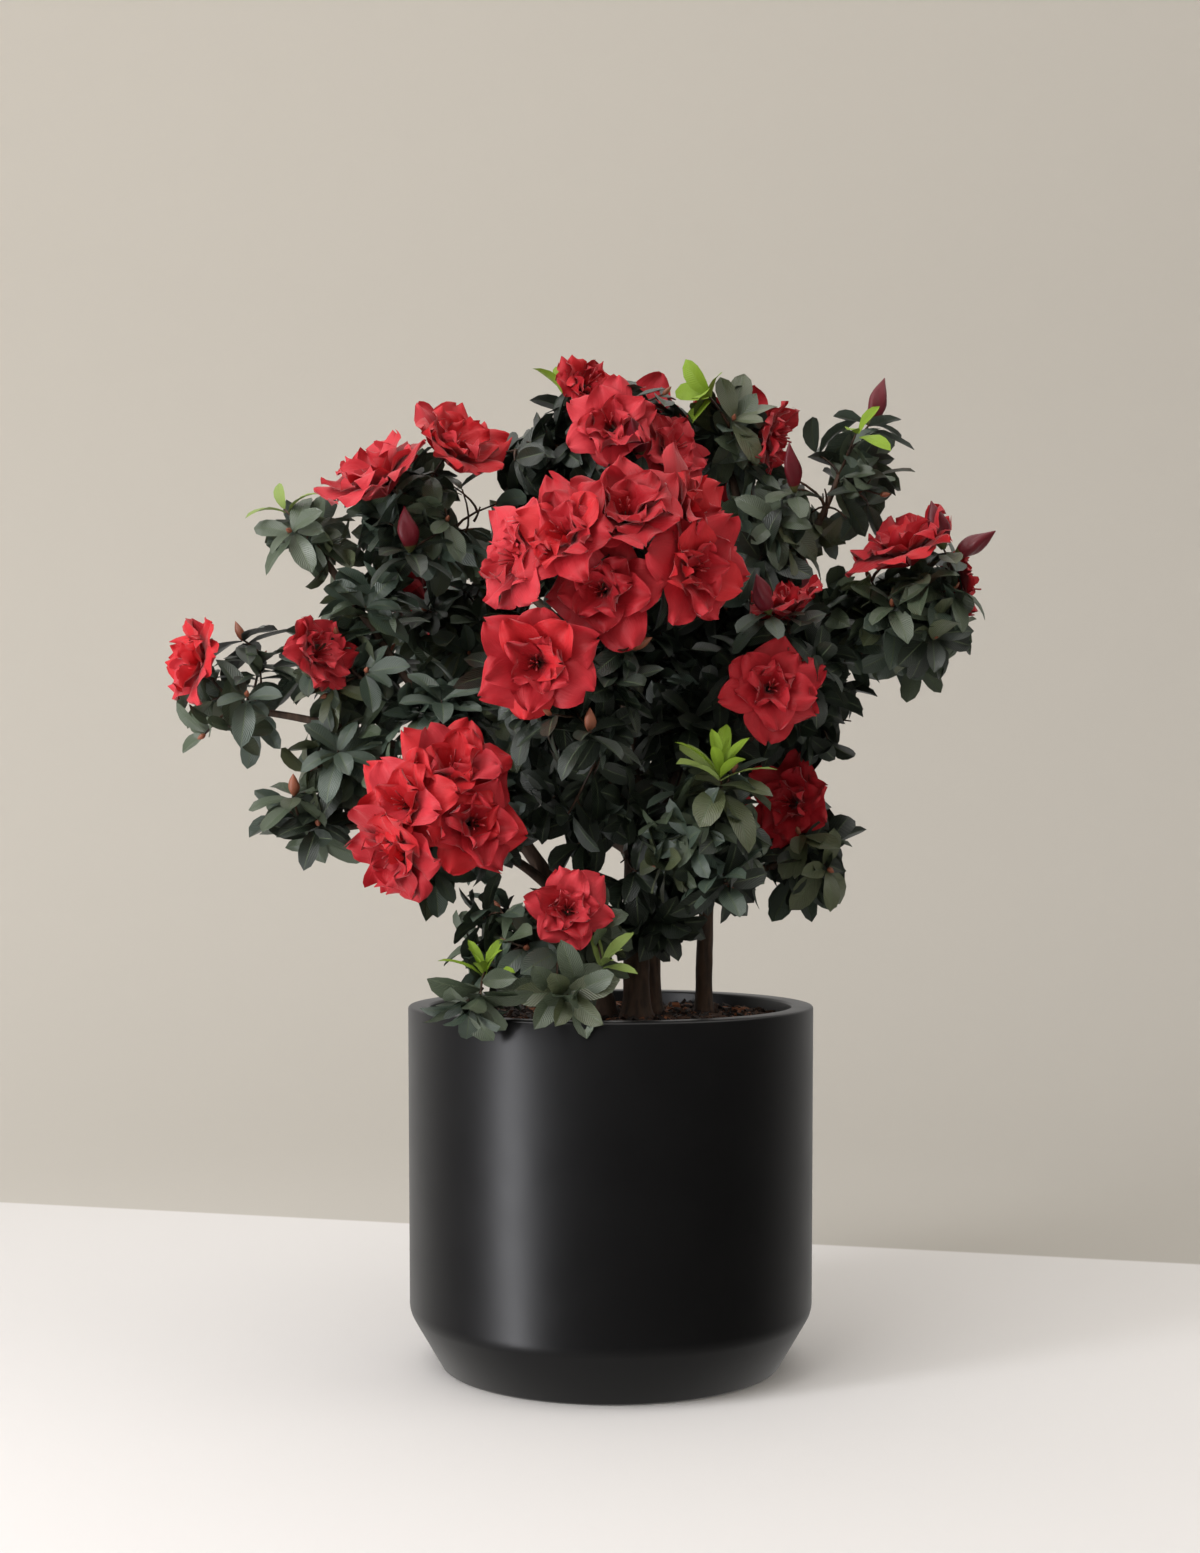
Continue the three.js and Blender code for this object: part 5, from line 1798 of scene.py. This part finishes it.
class FoliageSettings(bpy.types.PropertyGroup):
    """Sizes of the leaves."""

    leaf_length: FloatProperty(
        name="Leaf length", description="Length of a full-grown leaf", default=0.031,
        unit="LENGTH")
    leaf_width: FloatProperty(
        name="Leaf width", description="Width of a full-grown leaf", default=0.0135,
        unit="LENGTH")


class BlossomSettings(bpy.types.PropertyGroup):
    """Sizes of the blooms and buds."""

    petal_length: FloatProperty(
        name="Petal length", description="Length of an outer petal", default=0.038,
        unit="LENGTH")
    petal_width: FloatProperty(
        name="Petal width", description="Width of an outer petal", default=0.031,
        unit="LENGTH")
    ruffle: FloatProperty(
        name="Ruffle", description="Height of the waves along a petal's edge", default=0.003,
        unit="LENGTH")
    throat_depth: FloatProperty(
        name="Throat depth", description="How far a bloom's foot lies behind its middle",
        default=0.011, unit="LENGTH")
    bud_length: FloatProperty(
        name="Bud length", description="Length of a flower bud", default=0.031, unit="LENGTH")


class StudioSettings(bpy.types.PropertyGroup):
    """Light and floor of the studio."""

    key_power: FloatProperty(
        name="Key power", description="Power of the main soft lamp, above at the left",
        default=17, unit="POWER")
    strip_power: FloatProperty(
        name="Strip power", description="Power of the upright strip that the glaze mirrors",
        default=15, unit="POWER")
    fill_power: FloatProperty(
        name="Fill power", description="Power of the soft lamp at the right", default=4.5,
        unit="POWER")
    surround: FloatProperty(
        name="Surround", description="Strength of the light from behind", default=0.6)
    overhead: FloatProperty(
        name="Overhead", description="Strength of the soft light from above", default=1.0)
    pale_reach: FloatProperty(
        name="Pale reach", description="How far the pale floor reaches behind the planter",
        default=0.404, unit="LENGTH")
    floor_colour: FloatVectorProperty(
        name="Floor", description="Colour of the floor by the planter", subtype="COLOR",
        default=(0.785, 0.775, 0.775))
    wall_colour: FloatVectorProperty(
        name="Wall", description="Colour of the far floor and wall", subtype="COLOR",
        default=(0.67, 0.645, 0.60))


class AZALEA_OT_planter(bpy.types.Operator):
    """Turns the glazed planter"""

    bl_idname = "azalea.planter"
    bl_label = "Planter"

    def execute(self, context):
        make_planter(context.scene.azalea_planter)
        return {"FINISHED"}


class AZALEA_OT_soil(bpy.types.Operator):
    """Fills the planter with soil and strews bark chips over it"""

    bl_idname = "azalea.soil"
    bl_label = "Soil"

    def execute(self, context):
        materials = soil_materials()
        make_soil(materials)
        make_chips(materials)
        return {"FINISHED"}


class AZALEA_OT_wood(bpy.types.Operator):
    """Grows the stems, boughs and twigs"""

    bl_idname = "azalea.wood"
    bl_label = "Wood"

    def execute(self, context):
        settings = context.scene.azalea_wood
        make_bark(settings)
        make_twigs(settings)
        return {"FINISHED"}


class AZALEA_OT_foliage(bpy.types.Operator):
    """Sets the leaves on their twigs"""

    bl_idname = "azalea.foliage"
    bl_label = "Foliage"

    def execute(self, context):
        settings = context.scene.azalea_foliage
        plant = crown()
        leaves = all_leaves(plant, all_blooms(plant), settings.leaf_length / MM)
        materials = leaf_materials()
        for name, masses in LEAF_PIECES.items():
            own = [leaf for leaf in leaves if leaf.mass in masses]
            nodes = [f"foliage_{mass}" for mass in masses]
            make_leaves(name, own, settings, materials, nodes)
        return {"FINISHED"}


class AZALEA_OT_blossom(bpy.types.Operator):
    """Opens the blooms and sets the buds"""

    bl_idname = "azalea.blossom"
    bl_label = "Blossom"

    def execute(self, context):
        settings = context.scene.azalea_blossom
        blooms = all_blooms(crown())
        make_petals(blooms, settings)
        make_stamens(blooms, settings)
        make_buds(settings)
        return {"FINISHED"}


class AZALEA_OT_studio(bpy.types.Operator):
    """Sets up the floor, lamps and camera"""

    bl_idname = "azalea.studio"
    bl_label = "Studio"

    def execute(self, context):
        settings = context.scene.azalea_studio
        make_floor(settings)
        powers = (settings.key_power, settings.strip_power, settings.fill_power)
        for (name, lamp), power in zip(LAMPS.items(), powers):
            make_softbox(name, *lamp, power)
        make_camera()
        make_world(settings)
        context.scene.view_settings.view_transform = "Standard"
        return {"FINISHED"}


class AZALEA_PT_panel(bpy.types.Panel):
    """Lists the azalea's operators and settings"""

    bl_label = "Azalea"
    bl_idname = "AZALEA_PT_panel"
    bl_space_type = "VIEW_3D"
    bl_region_type = "UI"
    bl_category = "Azalea"

    def draw(self, context):
        for operator in OPERATORS:
            self.layout.operator(operator.bl_idname)
        for name in SETTINGS:
            box = self.layout.box()
            group = getattr(context.scene, name)
            for key in group.bl_rna.properties.keys():
                if key not in ("rna_type", "name"):
                    box.prop(group, key)


SETTINGS = {
    "azalea_planter": PlanterSettings,
    "azalea_wood": WoodSettings,
    "azalea_foliage": FoliageSettings,
    "azalea_blossom": BlossomSettings,
    "azalea_studio": StudioSettings,
}
OPERATORS = (AZALEA_OT_planter, AZALEA_OT_soil, AZALEA_OT_wood, AZALEA_OT_foliage,
             AZALEA_OT_blossom, AZALEA_OT_studio)
CLASSES = (*SETTINGS.values(), *OPERATORS, AZALEA_PT_panel)


def register():
    for cls in CLASSES:
        bpy.utils.register_class(cls)
    for name, group in SETTINGS.items():
        setattr(bpy.types.Scene, name, PointerProperty(type=group))


def unregister():
    for name in SETTINGS:
        delattr(bpy.types.Scene, name)
    for cls in reversed(CLASSES):
        bpy.utils.unregister_class(cls)


def main():
    """Dresses the frame."""
    register()
    bpy.ops.azalea.planter()
    bpy.ops.azalea.soil()
    bpy.ops.azalea.wood()
    bpy.ops.azalea.foliage()
    bpy.ops.azalea.blossom()
    bpy.ops.azalea.studio()


if __name__ == "__main__":
    main()
